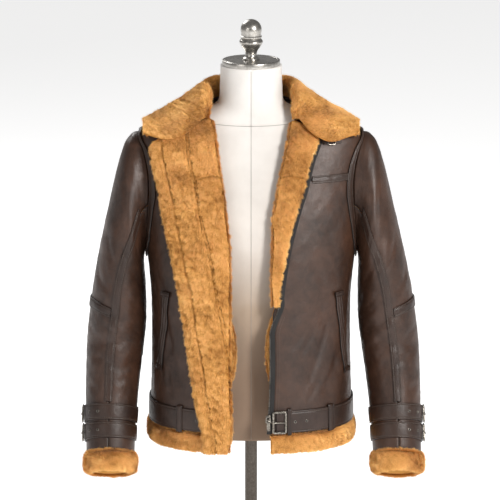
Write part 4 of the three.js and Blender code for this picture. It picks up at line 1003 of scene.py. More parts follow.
def turned_back(side, gorge, bottom, rows, columns, edges, over, seams):
    """Loops of a turned-back front. u runs from the fold to the zip edge, and z follows the collar
    seam at the top. A seam is a trough at its distance from the zip edge."""
    v = np.linspace(0, 1, rows + 1)[:, None]
    u = 1 - (1 - np.linspace(0, 1, columns + 1)) ** 1.25
    z = mix(read(gorge, 1, u)[None, :], bottom, v)
    fold = read(edges, 1, z)
    zip_edge = np.maximum(read(edges, 2, z), fold + EDGE_WRAP + 4)
    x = mix(fold + EDGE_WRAP, zip_edge, u)
    from_zip = zip_edge - x
    edge_drop = (over - LAPEL["under"]) * 0.62 * (1 - np.sqrt(np.clip(1 - (1 - from_zip / 7) ** 2 * (
        from_zip < 7), 0, 1)))
    fold_drop = 3.0 * np.exp(-((x - fold - EDGE_WRAP) / 5) ** 2)
    dip = sum(deep * np.exp(-((from_zip - at) / wide) ** 2) for at, wide, deep in seams)
    high = over - 4.6 - edge_drop - fold_drop - dip
    crown = body(side * angle_at(x, z), z, high, 0.0)
    crown = crown + lumps(crown, 0.7)[..., None] * np.array([0, -1, 0]) * np.minimum(1, from_zip / 8)[..., None]
    turn = np.linspace(0, 1, 9)[None, :-1]
    z0, fold0 = z[:, :1], fold[:, :1]
    rolled = mix(-HIDE * 0.6, high[:, :1], turn)
    wrap_x = fold0 + EDGE_WRAP * (1 - np.sqrt(np.clip(1 - (2 * turn - 1) ** 2, 0, 1))) * 0.55 * (turn > 0.5) \
        + EDGE_WRAP * 0.2 * (1 - turn)
    wrap = body(side * angle_at(wrap_x, z0), z0 + 0 * wrap_x, rolled, 0.0)
    under = body(side * angle_at(x, z), z, LAPEL["under"] + 0.3, 0.0)
    neck_x = fold0 + EDGE_WRAP - 0.8 + 0 * turn
    neck = body(side * angle_at(neck_x, z0), z0 + 0 * neck_x, mix(-HIDE * 0.6, 1.5, turn), 0.0)
    outside = np.concatenate([wrap, crown], 1)
    inside = np.concatenate([neck, under], 1)
    return np.concatenate([outside, inside[:, ::-1]], 1), outside


SEAMS = [(21.0, 2.4, 2.2), (63.0, 1.8, 1.8), (67.5, 1.8, 1.8)]
right_loops, right_face = turned_back(-1, GORGE_RIGHT, LAPEL["hem"], 150, 44, RIGHT_FRONT, LAPEL["over"], SEAMS)
left_loops, left_face = turned_back(1, GORGE_LEFT, FACING_FOOT - 4, 90, 20, LEFT_FRONT, 13.0, [])
JOIN = 484.0  # height of the sewn line across both turned-back fronts


def sewn_lines(side, edges, seams, beyond):
    """How near a place is to a seam, 1 on it: a bell of the distance to each long line, broken
    here and there, and to the line across, which starts beyond a distance from the zip edge."""
    def near(points):
        z, x = points[:, 2], points[:, 0] * side
        from_zip = read(edges, 2, z) - x
        broken = 0.68 + 0.32 * np.sin(z * 0.41 + 3 * np.sin(z * 0.067))
        lines = sum(np.exp(-((from_zip - at - 0.9 * np.sin(z / 23 + at)) / 1.35) ** 2) for at, _, _ in seams)
        level = JOIN + 3.0 * np.sin(x / 9)
        level_line = np.exp(-((z - level) / 1.5) ** 2) * smooth(from_zip, beyond, beyond + 5) * 0.7
        return np.clip(lines * broken + level_line, 0, 1)
    return near


for name, loops, face, seam, count, seed in (
        ("lapel_right", right_loops, right_face, sewn_lines(-1, RIGHT_FRONT, SEAMS, 68), 118000, 21),
        ("lapel_left", left_loops, left_face, sewn_lines(1, LEFT_FRONT, [], 0), 38000, 22)):
    base = wool_base(name, loops, seam=seam)
    blades = grow_wool(name + "_pile", loops, np.arange(face.shape[1] + 1), count, seed=seed, seam=seam,
                       along=0.8, aside=0.25)
    cut(base, face)

BAG = {"low": 104.0, "high": 236.0, "in": 29.0, "out": 92.0, "gap": 1.35, "deep": 6.0}
for side, name in ((1, "left"), (-1, "right")):
    def bag_place(u, z, off, side=side):
        """Place on a pocket bag inside the front: its free edge bulges towards the middle."""
        share = (z - BAG["low"]) / (BAG["high"] - BAG["low"])
        edge = mix(46, BAG["in"], np.sin(np.pi * np.clip(share, 0, 1)) ** 0.6)
        return body(side * angle_at(mix(edge, BAG["out"], u), z), z, off, 0.0)
    loops = slab(bag_place, np.linspace(0, 1, 24), np.linspace(BAG["low"], BAG["high"], 40),
                 -HIDE - BAG["gap"], -HIDE - BAG["gap"] - BAG["deep"])
    base = wool_base(f"pocket_bag_{name}", loops)
    blades = grow_wool(f"pocket_bag_{name}_pile", loops, np.array([0, 1, 44, 45, 46, 47]), 5000, seed=31 + side,
                       length=6.0)
    cut(base, loops[:, :24])
print("fronts' wool made")

# %% [markdown]
# ## Collar
# The collar stands up round the neck, rolls over and lies on the shoulders. Its upper side is
# wool and its underside hide. One middle surface gives both, moved to either side.

# %% Collar
COLLAR = np.array([  # place round the neck; neck x y z; roll x y z; edge x y z; loft; bow
    [0, 0, 70, 601, 0, 79, 661, 0, 104, 555, 6, 0], [0.25, 34, 66, 601, 31, 72, 661, 62, 101, 555, 6, 0],
    [0.5, 66, 48, 601, 56, 47, 660, 116, 89, 550, 6, 0], [0.68, 82, 14, 601, 68, 10, 644, 163, 60, 558, 1, 0],
    [0.82, 80, -22, 600, 71, -18, 635, 193, 20, 562.5, 0, 2], [0.92, 76, -44, 591, 75, -47, 615, 194, -20, 564.5, -11.5, 8],
    [1, 76, -57, 580, 76, -66, 586, 194, -48, 553, -18, 15]], float)
ROLL_RADIUS, ROLL_REACH = 8.2, 0.1


def collar_line(u, v):
    """Middle of the collar: straight from the neck seam (v = -1) up, an arc over the roll (0), then
    the leaf, a little arched, to its edge (1)."""
    u, v = np.broadcast_arrays(np.asarray(u, float), np.asarray(v, float))
    w = np.abs(u)
    get = lambda k: np.stack([read(COLLAR, k + i, w) for i in range(3)], -1)
    neck, peak, edge = get(1), get(4), get(7)
    down, out = unit(neck - peak), unit(edge - peak)
    corner = np.arccos(np.clip((down * out).sum(-1, keepdims=True), -1, 1)) / 2
    start = peak + down * ROLL_RADIUS / np.tan(corner)
    end = peak + out * ROLL_RADIUS / np.tan(corner)
    centre = peak + unit(down + out) * ROLL_RADIUS / np.sin(corner)
    v = v[..., None]
    stand = mix(start, neck, (-v - ROLL_REACH) / (1 - ROLL_REACH))
    share = np.clip((v - ROLL_REACH) / (1 - ROLL_REACH), 0, 1)
    leaf = mix(end, edge, share)
    arch = np.sin(np.pi * share[..., 0])
    leaf[..., 2] += read(COLLAR, 10, w) * arch
    leaf[..., 1] -= read(COLLAR, 11, w) * arch
    turn = np.pi - 2 * corner
    part = np.clip((v + ROLL_REACH) / (2 * ROLL_REACH), 0, 1)
    over = centre + (start - centre) * np.sin((1 - part) * turn) / np.sin(turn) \
        + (end - centre) * np.sin(part * turn) / np.sin(turn)
    p = np.where(v < -ROLL_REACH, stand, np.where(v > ROLL_REACH, leaf, over))
    p[..., 0] *= np.where(u < 0, -1, 1)
    return p


def collar(u, v, off):
    """Collar point moved off its middle surface, to the wool side."""
    side = collar_line(np.minimum(u + 0.02, 1), v) - collar_line(np.maximum(u - 0.02, -1), v)
    down = collar_line(u, np.minimum(v + 0.02, 1)) - collar_line(u, np.maximum(v - 0.02, -1))
    return collar_line(u, v) + unit(np.cross(side, down)) * np.asarray(off)[..., None]


us = np.linspace(-1, 1, 131)
vs = np.unique(np.concatenate([np.linspace(-1, -0.12, 14), np.linspace(-0.12, 0.12, 11), np.linspace(0.12, 0.97, 34)]))
u, v = np.meshgrid(us, vs, indexing="ij")
edge_near = np.minimum(1 - np.abs(u), (1 - v) * 0.9)
thick = 1 - np.clip(1 - edge_near / 0.07, 0, 1) ** 2 * 0.75
upper = collar(u, v, 1.2 * thick)
upper = upper + lumps(upper, 0.5)[..., None] * unit(upper - collar(u, v, -4.0)) * thick[..., None]
lower = collar(u, v, -4.0 * thick)
# The ends run on over the lapels' top edges, so that wool meets wool along the seam
run = smooth(np.abs(u), 0.86, 1.0) ** 2 * smooth(v, 0.05, 0.3) * (1 - smooth(v, 0.5, 0.85))
reach = np.where(u > 0, 9.0, 4.0) * run
over = reach[..., None] * np.array([0.0, -0.62, -0.78])
upper, lower = upper + over, lower + over
collar_loops = np.concatenate([upper, lower[:, ::-1]], 1)
COLLAR_SEAM = [collar(np.linspace(a, b, 60), np.linspace(c, d, 60), 3.6) for a, b, c, d in (
    (-0.93, -0.66, 0.68, 0.74), (-0.93, -0.84, 0.68, 0.1), (0.70, 0.94, 0.74, 0.70))]


def collar_seams(points):
    """How near a place is to a sewn line of the collar, 1 on it."""
    line = np.concatenate(COLLAR_SEAM)[::3]
    gap = np.full(len(points), 1e9)
    for spot in line:
        gap = np.minimum(gap, ((points - spot) ** 2).sum(1))
    return np.exp(-gap / 1.6 ** 2)


base = wool_base("collar_fur", collar_loops, seam=collar_seams)
blades = grow_wool("collar_fur_pile", collar_loops, np.arange(0, len(vs) + 1), 116000, seed=51, aside=0.8,
                   along=0.0, length=6.6, seam=collar_seams)
cut(base, upper)

u, v = u[::2, ::2] * 0.975, v[::2, ::2]
under_loops = np.concatenate([collar(u, v, -4.6), collar(u, v, -6.4)[:, ::-1]], 1)
points, faces = skin(under_loops)
under = solid("collar_leather", points, faces, [leather], {"wear_and_shade": 0.0})
cut(dress(under, "leather", "collar_leather"), under_loops[:, :v.shape[1]])
print("collar made")

# %% [markdown]
# ## Buckles, eyelets and zip
# Buckles are cast frames with a prong across them. They sit on their straps, so each is built flat
# and then placed by three arrows: along the strap, across it, and out from it.


# %% Hardware placed on a surface
def seat(place, s, across, out):
    """Origin and the three arrows (along, across, out) at a place on a surface."""
    at = place(np.array(s), np.array(across), np.array(out))
    normal = unit(place(np.array(s), np.array(across), np.array(out + 1.0)) - at)
    along = place(np.array(s + 0.02), np.array(across), np.array(out)) \
        - place(np.array(s - 0.02), np.array(across), np.array(out))
    along = unit(along - normal * (along * normal).sum())
    return at, np.stack([along, np.cross(normal, along), normal])


def set_on(points, seated):
    """Flat points moved to a seat: each is origin plus its parts along the three arrows."""
    at, arrows = seated
    return at + points @ arrows


def rod(path, radius_across, radius_out, around=14, square=2.0, closed=False):
    """Loops of a rod along a flat path: a squared oval section, turned with the path."""
    path = np.asarray(path, float)
    heading = (np.roll(path, -1, 0) - np.roll(path, 1, 0)) if closed else np.gradient(path, axis=0)
    heading = unit(heading)
    sideways = unit(np.stack([-heading[:, 1], heading[:, 0], 0 * heading[:, 0]], 1))
    lift = np.cross(heading, sideways)
    a = np.linspace(0, 2 * np.pi, around, endpoint=False) + np.pi / around
    p, q = power(np.cos(a), 2 / square), power(np.sin(a), 2 / square)
    ra = np.broadcast_to(radius_across, len(path))[:, None, None]
    ro = np.broadcast_to(radius_out, len(path))[:, None, None]
    return path[:, None] + sideways[:, None] * p[None, :, None] * ra + lift[:, None] * q[None, :, None] * ro


def joined(parts):
    """Several loop meshes as one list of points and quads."""
    points, faces, start = [], [], 0
    for p, f in parts:
        points.append(p)
        faces.append(f + start)
        start += len(p)
    return np.concatenate(points), np.concatenate(faces)


def frame_path(long, tall, corner, steps=9):
    """Rounded oblong: four quarter circles joined by straight sides."""
    quarter = np.linspace(0, np.pi / 2, steps)
    parts = []
    for k, (x, y) in enumerate(((1, 1), (-1, 1), (-1, -1), (1, -1))):
        a = quarter + k * np.pi / 2
        parts.append(np.stack([x * (long / 2 - corner) + corner * np.cos(a),
                               y * (tall / 2 - corner) + corner * np.sin(a), 0 * a], 1))
    return np.concatenate(parts)


def buckle(name, seated, long, tall, bar, thick, prong):
    """Rounded frame, a prong that curls round its near bar and rests on the far one."""
    edge = frame_path(long - bar, tall - bar, 3.2)
    edge[:, 2] = thick / 2
    frame_mesh = skin(rod(edge, bar / 2, thick / 2, square=2.8, closed=True), True)
    x = np.linspace(0, 1, 22)
    path = np.stack([-long / 2 + bar * 0.2 + x * (prong - bar * 0.2), 0 * x,
                     thick + 0.9 - 0.5 * np.sin(np.pi * x) + 0.3 * x], 1)
    tongue = skin(rod(path, 1.4 - 0.35 * x, 1.0 - 0.2 * x))
    a = np.linspace(0.3, 2 * np.pi - 0.3, 18)
    curl = np.stack([-long / 2 + bar / 2 + (bar / 2 + 0.7) * np.cos(a), 0 * a,
                     thick / 2 + (thick / 2 + 0.8) * np.sin(a)], 1)
    side = np.array([0, 1.7, 0])
    lift = unit(np.stack([np.cos(a), 0 * a, np.sin(a)], 1)) * 0.5
    wrap = skin(np.stack([curl - side - lift, curl + side - lift, curl + side + lift, curl - side + lift], 1))
    points, faces = joined([frame_mesh, tongue, wrap])
    obj = solid(name, set_on(points, seated), faces, [dark_metal], sharp=50)
    return dress(obj, "dark_metal", name)


buckle("belt_buckle", seat(belt_place, round_to(50), 0.0, ON_HIDE + BELT["out"] + 0.6), 27, 42, 4.2, 3, 25)
collar_strap_place = lambda s, across, out: body(angle_at(s, 541.0), 541.0 + across, out, 0.0)
strap("collar_strap", np.linspace(129, 160, 20), strap_section(14, ON_HIDE, ON_HIDE + 2, inset=2.4),
      collar_strap_place)
buckle("collar_buckle", seat(collar_strap_place, 143.0, 0.0, ON_HIDE + 2.6), 15, 19, 2.4, 1.6, 13.5)
for side, name in ((1, "left"), (-1, "right")):
    for level, at in CUFF_STRAPS.items():
        buckle(f"cuff_buckle_{level}_{name}", seat(cuff_place(side, at), np.radians(6), 0.0, ON_HIDE + 3.6),
               20, 33, 3.6, 2.6, 18.5)


def eyelet(name, seated, hole=1.5, rim=1.25):
    """A pressed ring round a dark hole."""
    a = np.linspace(0, 2 * np.pi, 25)[:-1]
    path = np.stack([(hole + rim / 2) * np.cos(a), (hole + rim / 2) * np.sin(a), 0.15 + 0 * a], 1)
    points, faces = skin(rod(path, rim / 2, 0.45, 8, closed=True), True)
    return points, faces, seated


rings, hole_shade_discs = [], []
spots = []
for side in (1, -1):
    for level, at in CUFF_STRAPS.items():
        for angle in (38.0, 62.0):
            spots.append(seat(cuff_place(side, at), np.radians(angle), 0.0, ON_HIDE + 3.1))
spots += [seat(belt_place, round_to(x), 0.0, ON_HIDE + BELT["out"] + 0.35) for x in (78.0, 98.0)]
spots += [seat(belt_place, -round_to(x), 0.0, ON_HIDE + BELT["out"] + 0.35) for x in (76.0, 96.0)]
a = np.linspace(0, 2 * np.pi, 25)[:-1]
for number, spot in enumerate(spots):
    points, faces, _ = eyelet("eyelet", spot)
    rings.append((set_on(points, spot), faces))
    # Each ring gets a nearly black disc inside it: painted shade standing in for the depth of the hole.
    loops = np.stack([np.stack([r * np.cos(a), r * np.sin(a), 0 * a + h], 1) for r, h in (
        (0.2, 0.02), (1.6, 0.02), (1.6, -0.3), (0.2, -0.3))])
    p, f = skin(np.swapaxes(loops, 0, 1), True)
    hole_shade_discs.append((set_on(p, spot), f))
dress(solid("eyelets", *joined(rings), [dark_metal]), "dark_metal")
dress(solid("eyelet_holes", *joined(hole_shade_discs), [tape_weave]), "zip_tape")

# %% Zip tapes, teeth, slider and pull
TAPE = {"width": 10.0, "thick": 1.2}


def left_tape(z, across, out):
    """Place on the left tape: on the leather beside the front's edge."""
    fold = read(LEFT_FRONT, 1, z)
    beside = np.maximum(read(LEFT_FRONT, 2, z), fold + 10.5) + 6
    x = mix(fold - 2, beside, smooth(z, FACING_FOOT - 60, FACING_FOOT))
    return body(angle_at(x + across, z), z, out)


def right_tape(z, across, out):
    """Place on the right tape: under the turned-back edge."""
    return body(-angle_at(read(RIGHT_FRONT, 2, z) - 7 + across, z), z, out)


tape_section = strap_section(TAPE["width"], ON_HIDE, ON_HIDE + TAPE["thick"], groove=0.2)
strap("zip_tape_left", np.linspace(24, 540, 150), tape_section, left_tape, "zip_tape", tape_weave)
strap("zip_tape_right", np.linspace(68, 526, 120), tape_section, right_tape, "zip_tape", tape_weave)
TOOTH = np.array([[x, y, z] for z in (0, 1) for x, y in ((-1, -1), (1, -1), (1, 1), (-1, 1))], float)
TOOTH_FACES = np.array([[0, 3, 2, 1], [4, 5, 6, 7], [0, 1, 5, 4], [1, 2, 6, 5], [2, 3, 7, 6], [3, 0, 4, 7]])


def row_of_teeth(name, place, heights, across, out, size=(2.4, 0.62, 1.5)):
    """One small cast block a step, sitting on the tape's edge."""
    at = place(heights, across, out)
    normal = unit(place(heights, across, out + 1.0) - at)
    along = unit(np.gradient(at, axis=0))
    sideways = np.cross(along, normal)
    block = TOOTH * np.array([size[0] / 2, size[1], size[2]]) * np.where(TOOTH[:, 2:] > 0, [0.8, 0.8, 1], 1)
    points = (at[:, None] + block[None, :, :1] * sideways[:, None] + block[None, :, 1:2] * along[:, None]
              + block[None, :, 2:] * normal[:, None]).reshape(-1, 3)
    faces = (TOOTH_FACES[None] + 8 * np.arange(len(at))[:, None, None]).reshape(-1, 4)
    return dress(solid(name, points, faces, [dark_metal], sharp=30), "dark_metal")


row_of_teeth("zip_teeth_left", left_tape, np.arange(62, 538, 2.6), -4.4, ON_HIDE + TAPE["thick"])
row_of_teeth("zip_teeth_right", right_tape, np.arange(72, 524, 2.6), 4.4, ON_HIDE + TAPE["thick"])

SLIDER = {"x": 30.0, "z": 52.0, "thick": 5.0}
PIN = {"radius": 1.0, "out": 8.2, "length": 6.0}
slider_seat = seat(lambda s, across, out: body(angle_at(SLIDER["x"] + s * 50, SLIDER["z"]), SLIDER["z"] + across,
                                               out, 0.0), 0.0, 0.0, ON_HIDE + TAPE["thick"] + GAP)


def plate(outline, low, high, soft=0.5):
    """Flat plate with softened edges from an outline: stacked copies, smaller at top and bottom."""
    outline = np.asarray(outline, float)
    middle = outline.mean(0)
    layers = [(low, 0.6), (low, 1.0 - soft * 0.12), (low + soft * 0.5, 1.0), (high - soft * 0.5, 1.0),
              (high, 1.0 - soft * 0.12), (high, 0.6), (high, 0.05), (low, 0.05)]
    loops = np.stack([np.concatenate([middle + (outline - middle) * k, np.full((len(outline), 1), h)], 1)
                      for h, k in layers])
    return skin(np.swapaxes(loops, 0, 1), True)


shield = frame_path(9, 14, 2.4)[:, :2]
shield[:, 0] *= 1 - 0.10 * (shield[:, 1] / 7)
slider_parts = [plate(shield, 0, 1.7), plate(shield, 3.4, SLIDER["thick"])]
wedge = frame_path(3.2, 10, 1.2)[:, :2]
slider_parts.append(plate(wedge, 1.2, 4.0))
x = np.linspace(-PIN["length"] / 2, PIN["length"] / 2, 9)
slider_parts.append(skin(rod(np.stack([x, 0 * x, PIN["out"] + 0 * x], 1), PIN["radius"], PIN["radius"], 16)))
for across in (-PIN["length"] / 2 + 0.5, PIN["length"] / 2 - 0.5):
    cheek = np.array([[3.2 * np.cos(t), 0] for t in (0,)])
    y = np.linspace(-1, 1, 2)
    h = np.linspace(4.6, PIN["out"] + 1.2, 10)
    wide = 1.6 * np.sqrt(np.clip(1 - np.clip((h - PIN["out"]) / 1.25, 0, 1) ** 2, 0.05, 1))
    loops = np.stack([np.stack([across - 0.5 + 0 * h, -wide, h], 1), np.stack([across + 0.5 + 0 * h, -wide, h], 1),
                      np.stack([across + 0.5 + 0 * h, wide, h], 1), np.stack([across - 0.5 + 0 * h, wide, h], 1)], 1)
    slider_parts.append(skin(loops))
points, faces = joined(slider_parts)
dress(solid("zip_slider", set_on(points, slider_seat), faces, [dark_metal], sharp=40), "dark_metal", "zip_slider")

hang = (set_on(np.array([[0, 0, PIN["out"]]]), slider_seat)[0], slider_seat[1])
a = np.linspace(0, 2 * np.pi, 33)[:-1]
knuckle = np.stack([np.stack([0 * a + px, r * np.cos(a), r * np.sin(a)], 1) for px, r in (
    (-1.5, 1.35), (-1.5, 2.45), (-1.3, 2.6), (1.3, 2.6), (1.5, 2.45), (1.5, 1.35))])
tab = frame_path(7, 18, 2.2)[:, :2]
tab[:, 0] *= 1 - 0.16 * (tab[:, 1] + 9) / 18
tab[:, 1] -= 11
points, faces = joined([skin(np.swapaxes(knuckle, 0, 1), True), plate(tab, -0.8, 0.8)])
pull = solid("zip_pull", set_on(points, hang), faces, [dark_metal], sharp=40)
dress(pull, "dark_metal", "zip_pull", rides=PULL)
print("hardware made:", len(spots), "eyelets")

# %% [markdown]
# ## The form and its stand
# The torso is padded and covered with pale cotton, sewn down the middle, down the sides and round
# the foot of the neck. A lathe makes the cap, finial, pole and base.

# %% Form
TORSO = np.array([
    [0, 150, 104], [60, 151, 106], [150, 137, 97], [260, 148, 106], [350, 162, 108], [420, 168, 98],
    [480, 170, 82], [525, 168, 66], [546, 162, 57], [558, 152, 53], [570, 132.2, 51], [580, 108, 50],
    [588, 82, 50], [602, 60, 50], [630, 56, 50], [667.7, 55, 50]], float)


def torso(f, z, off=0.0):
    """Form's squared oval at angle f and height z, moved out by off."""
    k = 2 / 2.1
    x = (read(TORSO, 1, z) + off) * power(np.sin(f), k)
    y = 4 * smooth(z, 300, 560) - (read(TORSO, 2, z) + off) * power(np.cos(f), k)
    return np.stack(np.broadcast_arrays(x, y, z), -1)


def neck_seam(f):
    """Height of the seam round the foot of the neck: lower in front."""
    return 565 + 28 * (1 - np.cos(f)) / 2 + 7 * np.sin(f) ** 2


zs = np.unique(np.concatenate([np.linspace(0, 667.7, 70), np.linspace(555, 607, 34), [0.8, 2.0, 4.0, 664.0, 666.5]]))
fs = np.linspace(-np.pi, np.pi, 145)[:-1]
f, z = np.meshgrid(fs, zs)
near = lambda gap, wide: np.exp(-(gap / wide) ** 2)
sewn = 0.9 * near(np.degrees(f) * 1.7, 1.6) + 0.9 * near(z - neck_seam(f), 1.8)
sewn = sewn + 0.9 * sum(near((np.degrees(f) - side) * 1.7, 1.6) for side in (-90, 90)) * (z < 560)
tuck = 4.0 * (1 - np.sqrt(np.clip(1 - (1 - np.clip(z / 4, 0, 1)) ** 2, 0, 1)))
loops = torso(f, z, -sewn - tuck)
points, faces = skin(loops)
form = solid("form_torso", points, faces, [canvas], {"wear_and_shade": 0.0})
dress(form, "canvas", "form_torso")


def piped(name, path, width=0.8):
    """A fine seam ridge along a line on the form."""
    out = unit(path - np.array([0, 0, 1]) * path[:, 2:])
    heading = unit(np.gradient(path, axis=0))
    sideways = unit(np.cross(heading, out))
    lift = np.cross(sideways, heading)
    a = np.linspace(0, 2 * np.pi, 8, endpoint=False)
    loops = path[:, None] + sideways[:, None] * np.cos(a)[None, :, None] * width / 2 \
        + lift[:, None] * np.sin(a)[None, :, None] * 0.35
    return skin(loops)


z = np.linspace(3, 664, 200)
f = np.linspace(-np.pi, np.pi, 140)
seams = [piped("front", torso(0 * z + 1e-4, z, -0.55)), piped("neck", torso(f, neck_seam(f), -0.55))]
z = np.linspace(3, 556, 130)
seams += [piped("side", torso(0 * z + side, z, -0.55)) for side in (-np.pi / 2, np.pi / 2)]
dress(solid("form_seams", *joined(seams), [piping]), "canvas")


def lathe(name, profile, material, slot, around=96, y=0.0, stand=STAND, sharp=35, nodes=None):
    """A profile of (radius, height) pairs turned round the upright axis."""
    profile = np.array(profile, float)
    profile[:, 0] = np.maximum(profile[:, 0], 0.02)
    a = np.linspace(0, 2 * np.pi, around, endpoint=False)
    loops = np.stack([np.outer(profile[:, 0], np.cos(a)), np.outer(profile[:, 0], np.sin(a)) + y,
                      np.repeat(profile[:, 1:], around, 1)], -1)
    points, faces = skin(loops)
    obj = solid(name, points, faces, [material], sharp=sharp, stand=stand)
    return dress(obj, slot, *(nodes or [name]))


def fine(profile, steps=6):
    """Smooth curve through profile points by the same cubic as the tables, steps to each gap."""
    rows = np.column_stack([np.arange(len(profile)), np.array(profile, float)])
    at = np.linspace(0, len(profile) - 1, steps * (len(profile) - 1) + 1)
    return np.column_stack([read(rows, 1, at), read(rows, 2, at)]).tolist()


lathe("neck_cap", [(0, 668), (51.2, 668), (51.8, 668.3), (52, 669), (52, 675.6), (51.6, 676.8), (50.6, 677.4),
                   (48, 677.4), (47.6, 677.1), (47.2, 677.4), (0, 677.4)], nickel, "nickel", y=4.0)
ball = [(19 * np.cos(t), 731.5 + 19 * np.sin(t)) for t in np.radians(np.linspace(-40, 90, 20))]
stem = fine([(15, 677.7), (14.8, 680), (11.2, 683.5), (10.5, 689), (12.4, 695), (17.6, 702), (20.6, 707.5),
             (20.9, 711), (18.2, 715)])
lathe("finial", [(0, 677.7), *stem, (17.6, 716.2), (18.8, 717.2), (19.4, 718.6), (19.3, 720), (18.0, 721)]
      + ball[3:], nickel, "nickel", 72, y=4.0, sharp=28)
lathe("pole", [(0, 23.3), (11.2, 23.3), (11.2, 299.7), (0, 299.7)], bronze, "bronze", 64, stand=0.0)
lathe("base_plate", [(0, 0), (144, 0), (144.7, 0.3), (145, 1), (145, 7), (144.4, 8.4), (143, 9), (21, 9),
                     (19, 9.6), (17.6, 11), (17, 13), (17, 22), (16, 23), (0, 23)], bronze, "bronze", 128, stand=0.0)
print("form and stand made")

# %% [markdown]
# ## Stitching
# Thread lies in the grooves of most strips and along the left front's edge. A stitch
# is a short stub with bevelled ends; a row sets one down every few millimetres.


# %% Rows of stitches
def stitch_row(points, normals, pitch=4.0, length=2.9, thick=0.42):
    """Stubs spaced evenly by arc length along a line of points, each along the line's heading."""
    step = np.concatenate([[0], np.cumsum(np.linalg.norm(np.diff(points, axis=0), axis=1))])
    at = np.arange(pitch / 2, step[-1] - pitch / 2, pitch)
    spot = np.stack([np.interp(at, step, points[:, k]) for k in range(3)], 1)
    along = unit(np.stack([np.interp(at + 1, step, points[:, k]) - np.interp(at - 1, step, points[:, k])
                           for k in range(3)], 1))
    up = unit(np.stack([np.interp(at, step, normals[:, k]) for k in range(3)], 1))
    sideways = np.cross(up, along)
    up = np.cross(along, sideways)
    x = np.array([-0.5, -0.34, 0.34, 0.5])
    size = np.array([0.35, 1.0, 1.0, 0.35])
    ring_ = np.array([[1, 0], [0.5, 0.8], [-0.5, 0.8], [-1, 0]])
    local = np.concatenate([np.stack([np.full(4, x[k]), ring_[:, 0] * size[k], ring_[:, 1] * size[k] - 0.1], 1)
                            for k in range(4)])
    local *= [length, thick, thick]
    verts = (spot[:, None] + local[None, :, :1] * along[:, None] + local[None, :, 1:2] * sideways[:, None]
             + local[None, :, 2:] * up[:, None]).reshape(-1, 3)
    faces = [[4 * k + j, 4 * k + j + 1, 4 * k + 5 + j, 4 * k + 4 + j] for k in range(3) for j in range(3)]
    faces = np.array(faces + [[0, 3, 2, 1], [12, 13, 14, 15]])
    faces = faces[:, ::-1]
    return verts, (faces[None] + 16 * np.arange(len(spot))[:, None, None]).reshape(-1, 4)


def stitched(place, steps, across, out):
    """One row along a strip, at a distance across it."""
    at = place(steps, across, out)
    return stitch_row(at, place(steps, across, out + 1.0) - at)


rows = []
for side, name, start in ((1, "left", 109), (-1, "right", 167)):
    steps = np.linspace(angle_at(start, YOKE), armhole_angle(YOKE, False) - 0.118, 60)
    rows += [stitched(yoke_strip_place(side), steps, a, ON_HIDE + STRIP) for a in (-4.3, 4.3)]
for name, where in POCKETS.items():
    rows += [stitched(welt_place(*where), np.linspace(0.03, 0.97, 90), a, ON_HIDE + 2.5) for a in (-4.0, 4.0)]
for low, high in ((round_to(100), QUARTER), (-QUARTER, -round_to(64)), (QUARTER, 3 * QUARTER)):
    rows += [stitched(belt_place, np.linspace(low, high, 160), a, ON_HIDE + 2.5) for a in (-16.6, 16.6)]
for side in (1, -1):
    strip_place = lambda s, across, out, side=side: sleeve(
        side, seam_angle(s) + np.radians(across / SLEEVE_MM_PER_DEGREE), s, out)
    rows += [stitched(strip_place, np.linspace(1.6, 12.0, 200), a, ON_SLEEVE + STRIP - 0.1) for a in (-5.5, 5.5)]
    elbow_place = lambda f, across, out, side=side: sleeve(side, f, ELBOW - across / SLEEVE_MM_PER_RING, out)
    rows += [stitched(elbow_place, np.linspace(-1.6, 1.3, 120), a, ON_HIDE + STRIP) for a in (-6.4, 6.4)]
    for at in CUFF_STRAPS.values():
        rows += [stitched(cuff_place(side, at), np.linspace(0.25, 2.95, 120), a, ON_HIDE + 2.7)
                 for a in (-11.2, 11.2)]
    rows += [stitched(rim_place(side), np.linspace(0, 2 * np.pi, 240), a, 1.5 + STRIP) for a in (5.0, 11.4)]
rows += [stitched(left_tape, np.linspace(30, 236, 120), a, -0.2) for a in (8.5, 13.0)]
dress(solid("stitching", *joined(rows), [thread], sharp=40), "trim_leather")
print("stitches:", sum(len(p) for p, _ in rows) // 16)

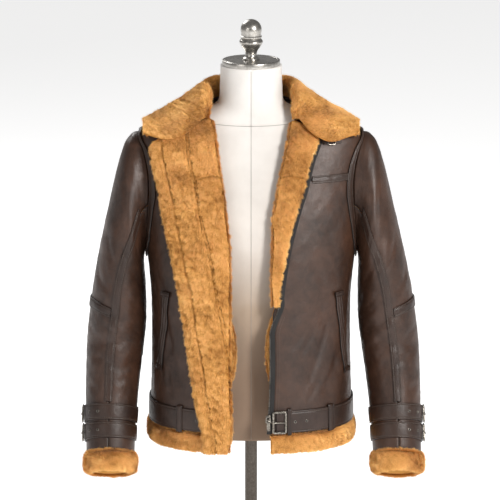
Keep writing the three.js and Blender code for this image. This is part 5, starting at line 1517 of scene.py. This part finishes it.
# %% [markdown]
# ## Floor and light
# A wide pale floor is all that the camera sees round the form, from the front and from behind.
# The brighter soft light stands to the right in front, a weak one to the left, and a third catches
# the shoulders from behind. The room lights the coat less than it shows to the camera.

# %% Stage
FLOOR = 15.0
corners = np.array([[-FLOOR, -FLOOR, 0], [FLOOR, -FLOOR, 0], [FLOOR, FLOOR, 0], [-FLOOR, FLOOR, 0]])
paper, tree, shader = network("backdrop")
speck = put(tree, "ShaderNodeTexNoise", {"Scale": 3.0}).outputs["Fac"]
tree.links.new(ramp(tree, speck, (0.3, (0.90, 0.90, 0.90)), (0.7, (0.93, 0.93, 0.93))), shader.inputs["Base Color"])
shader.inputs["Emission Color"].default_value = (1.0, 1.0, 1.0, 1)
shader.inputs["Emission Strength"].default_value = 0.6
shader.inputs["Roughness"].default_value = 0.95
shader.inputs["Specular IOR Level"].default_value = 0.1
backdrop = solid("backdrop", corners * 1000, np.array([[0, 1, 2, 3]]), [paper], stand=0.0)

world = bpy.data.worlds.new("room")
world.use_nodes = True
world.node_tree.nodes["Background"].inputs["Color"].default_value = (1.0, 0.99, 0.98, 1)
ray = put(world.node_tree, "ShaderNodeLightPath").outputs["Is Camera Ray"]
glow = put(world.node_tree, "ShaderNodeMapRange", {"Value": ray, "To Min": 0.24, "To Max": 1.0}).outputs["Result"]
world.node_tree.links.new(glow, world.node_tree.nodes["Background"].inputs["Strength"])
bpy.context.scene.world = world


def soft_light(name, place, size, watts, colour=(1, 1, 1)):
    """Square light aimed at the chest."""
    data = bpy.data.lights.new(name, "AREA")
    data.size, data.energy, data.color = size, watts, colour
    light = bpy.data.objects.new(name, data)
    bpy.context.scene.collection.objects.link(light)
    light.location = place
    light.rotation_euler = (Vector((0, 0, 0.65)) - Vector(place)).to_track_quat("-Z", "Y").to_euler()
    return light


soft_light("key", (2.3, -3.1, 2.5), 0.9, 185, (1.0, 0.985, 0.96))
soft_light("fill", (-2.6, -3.2, 1.8), 1.6, 24, (1.0, 0.98, 0.95))
soft_light("rim", (-1.6, 2.6, 2.8), 1.4, 60)
bpy.context.scene.view_settings.view_transform = "Standard"
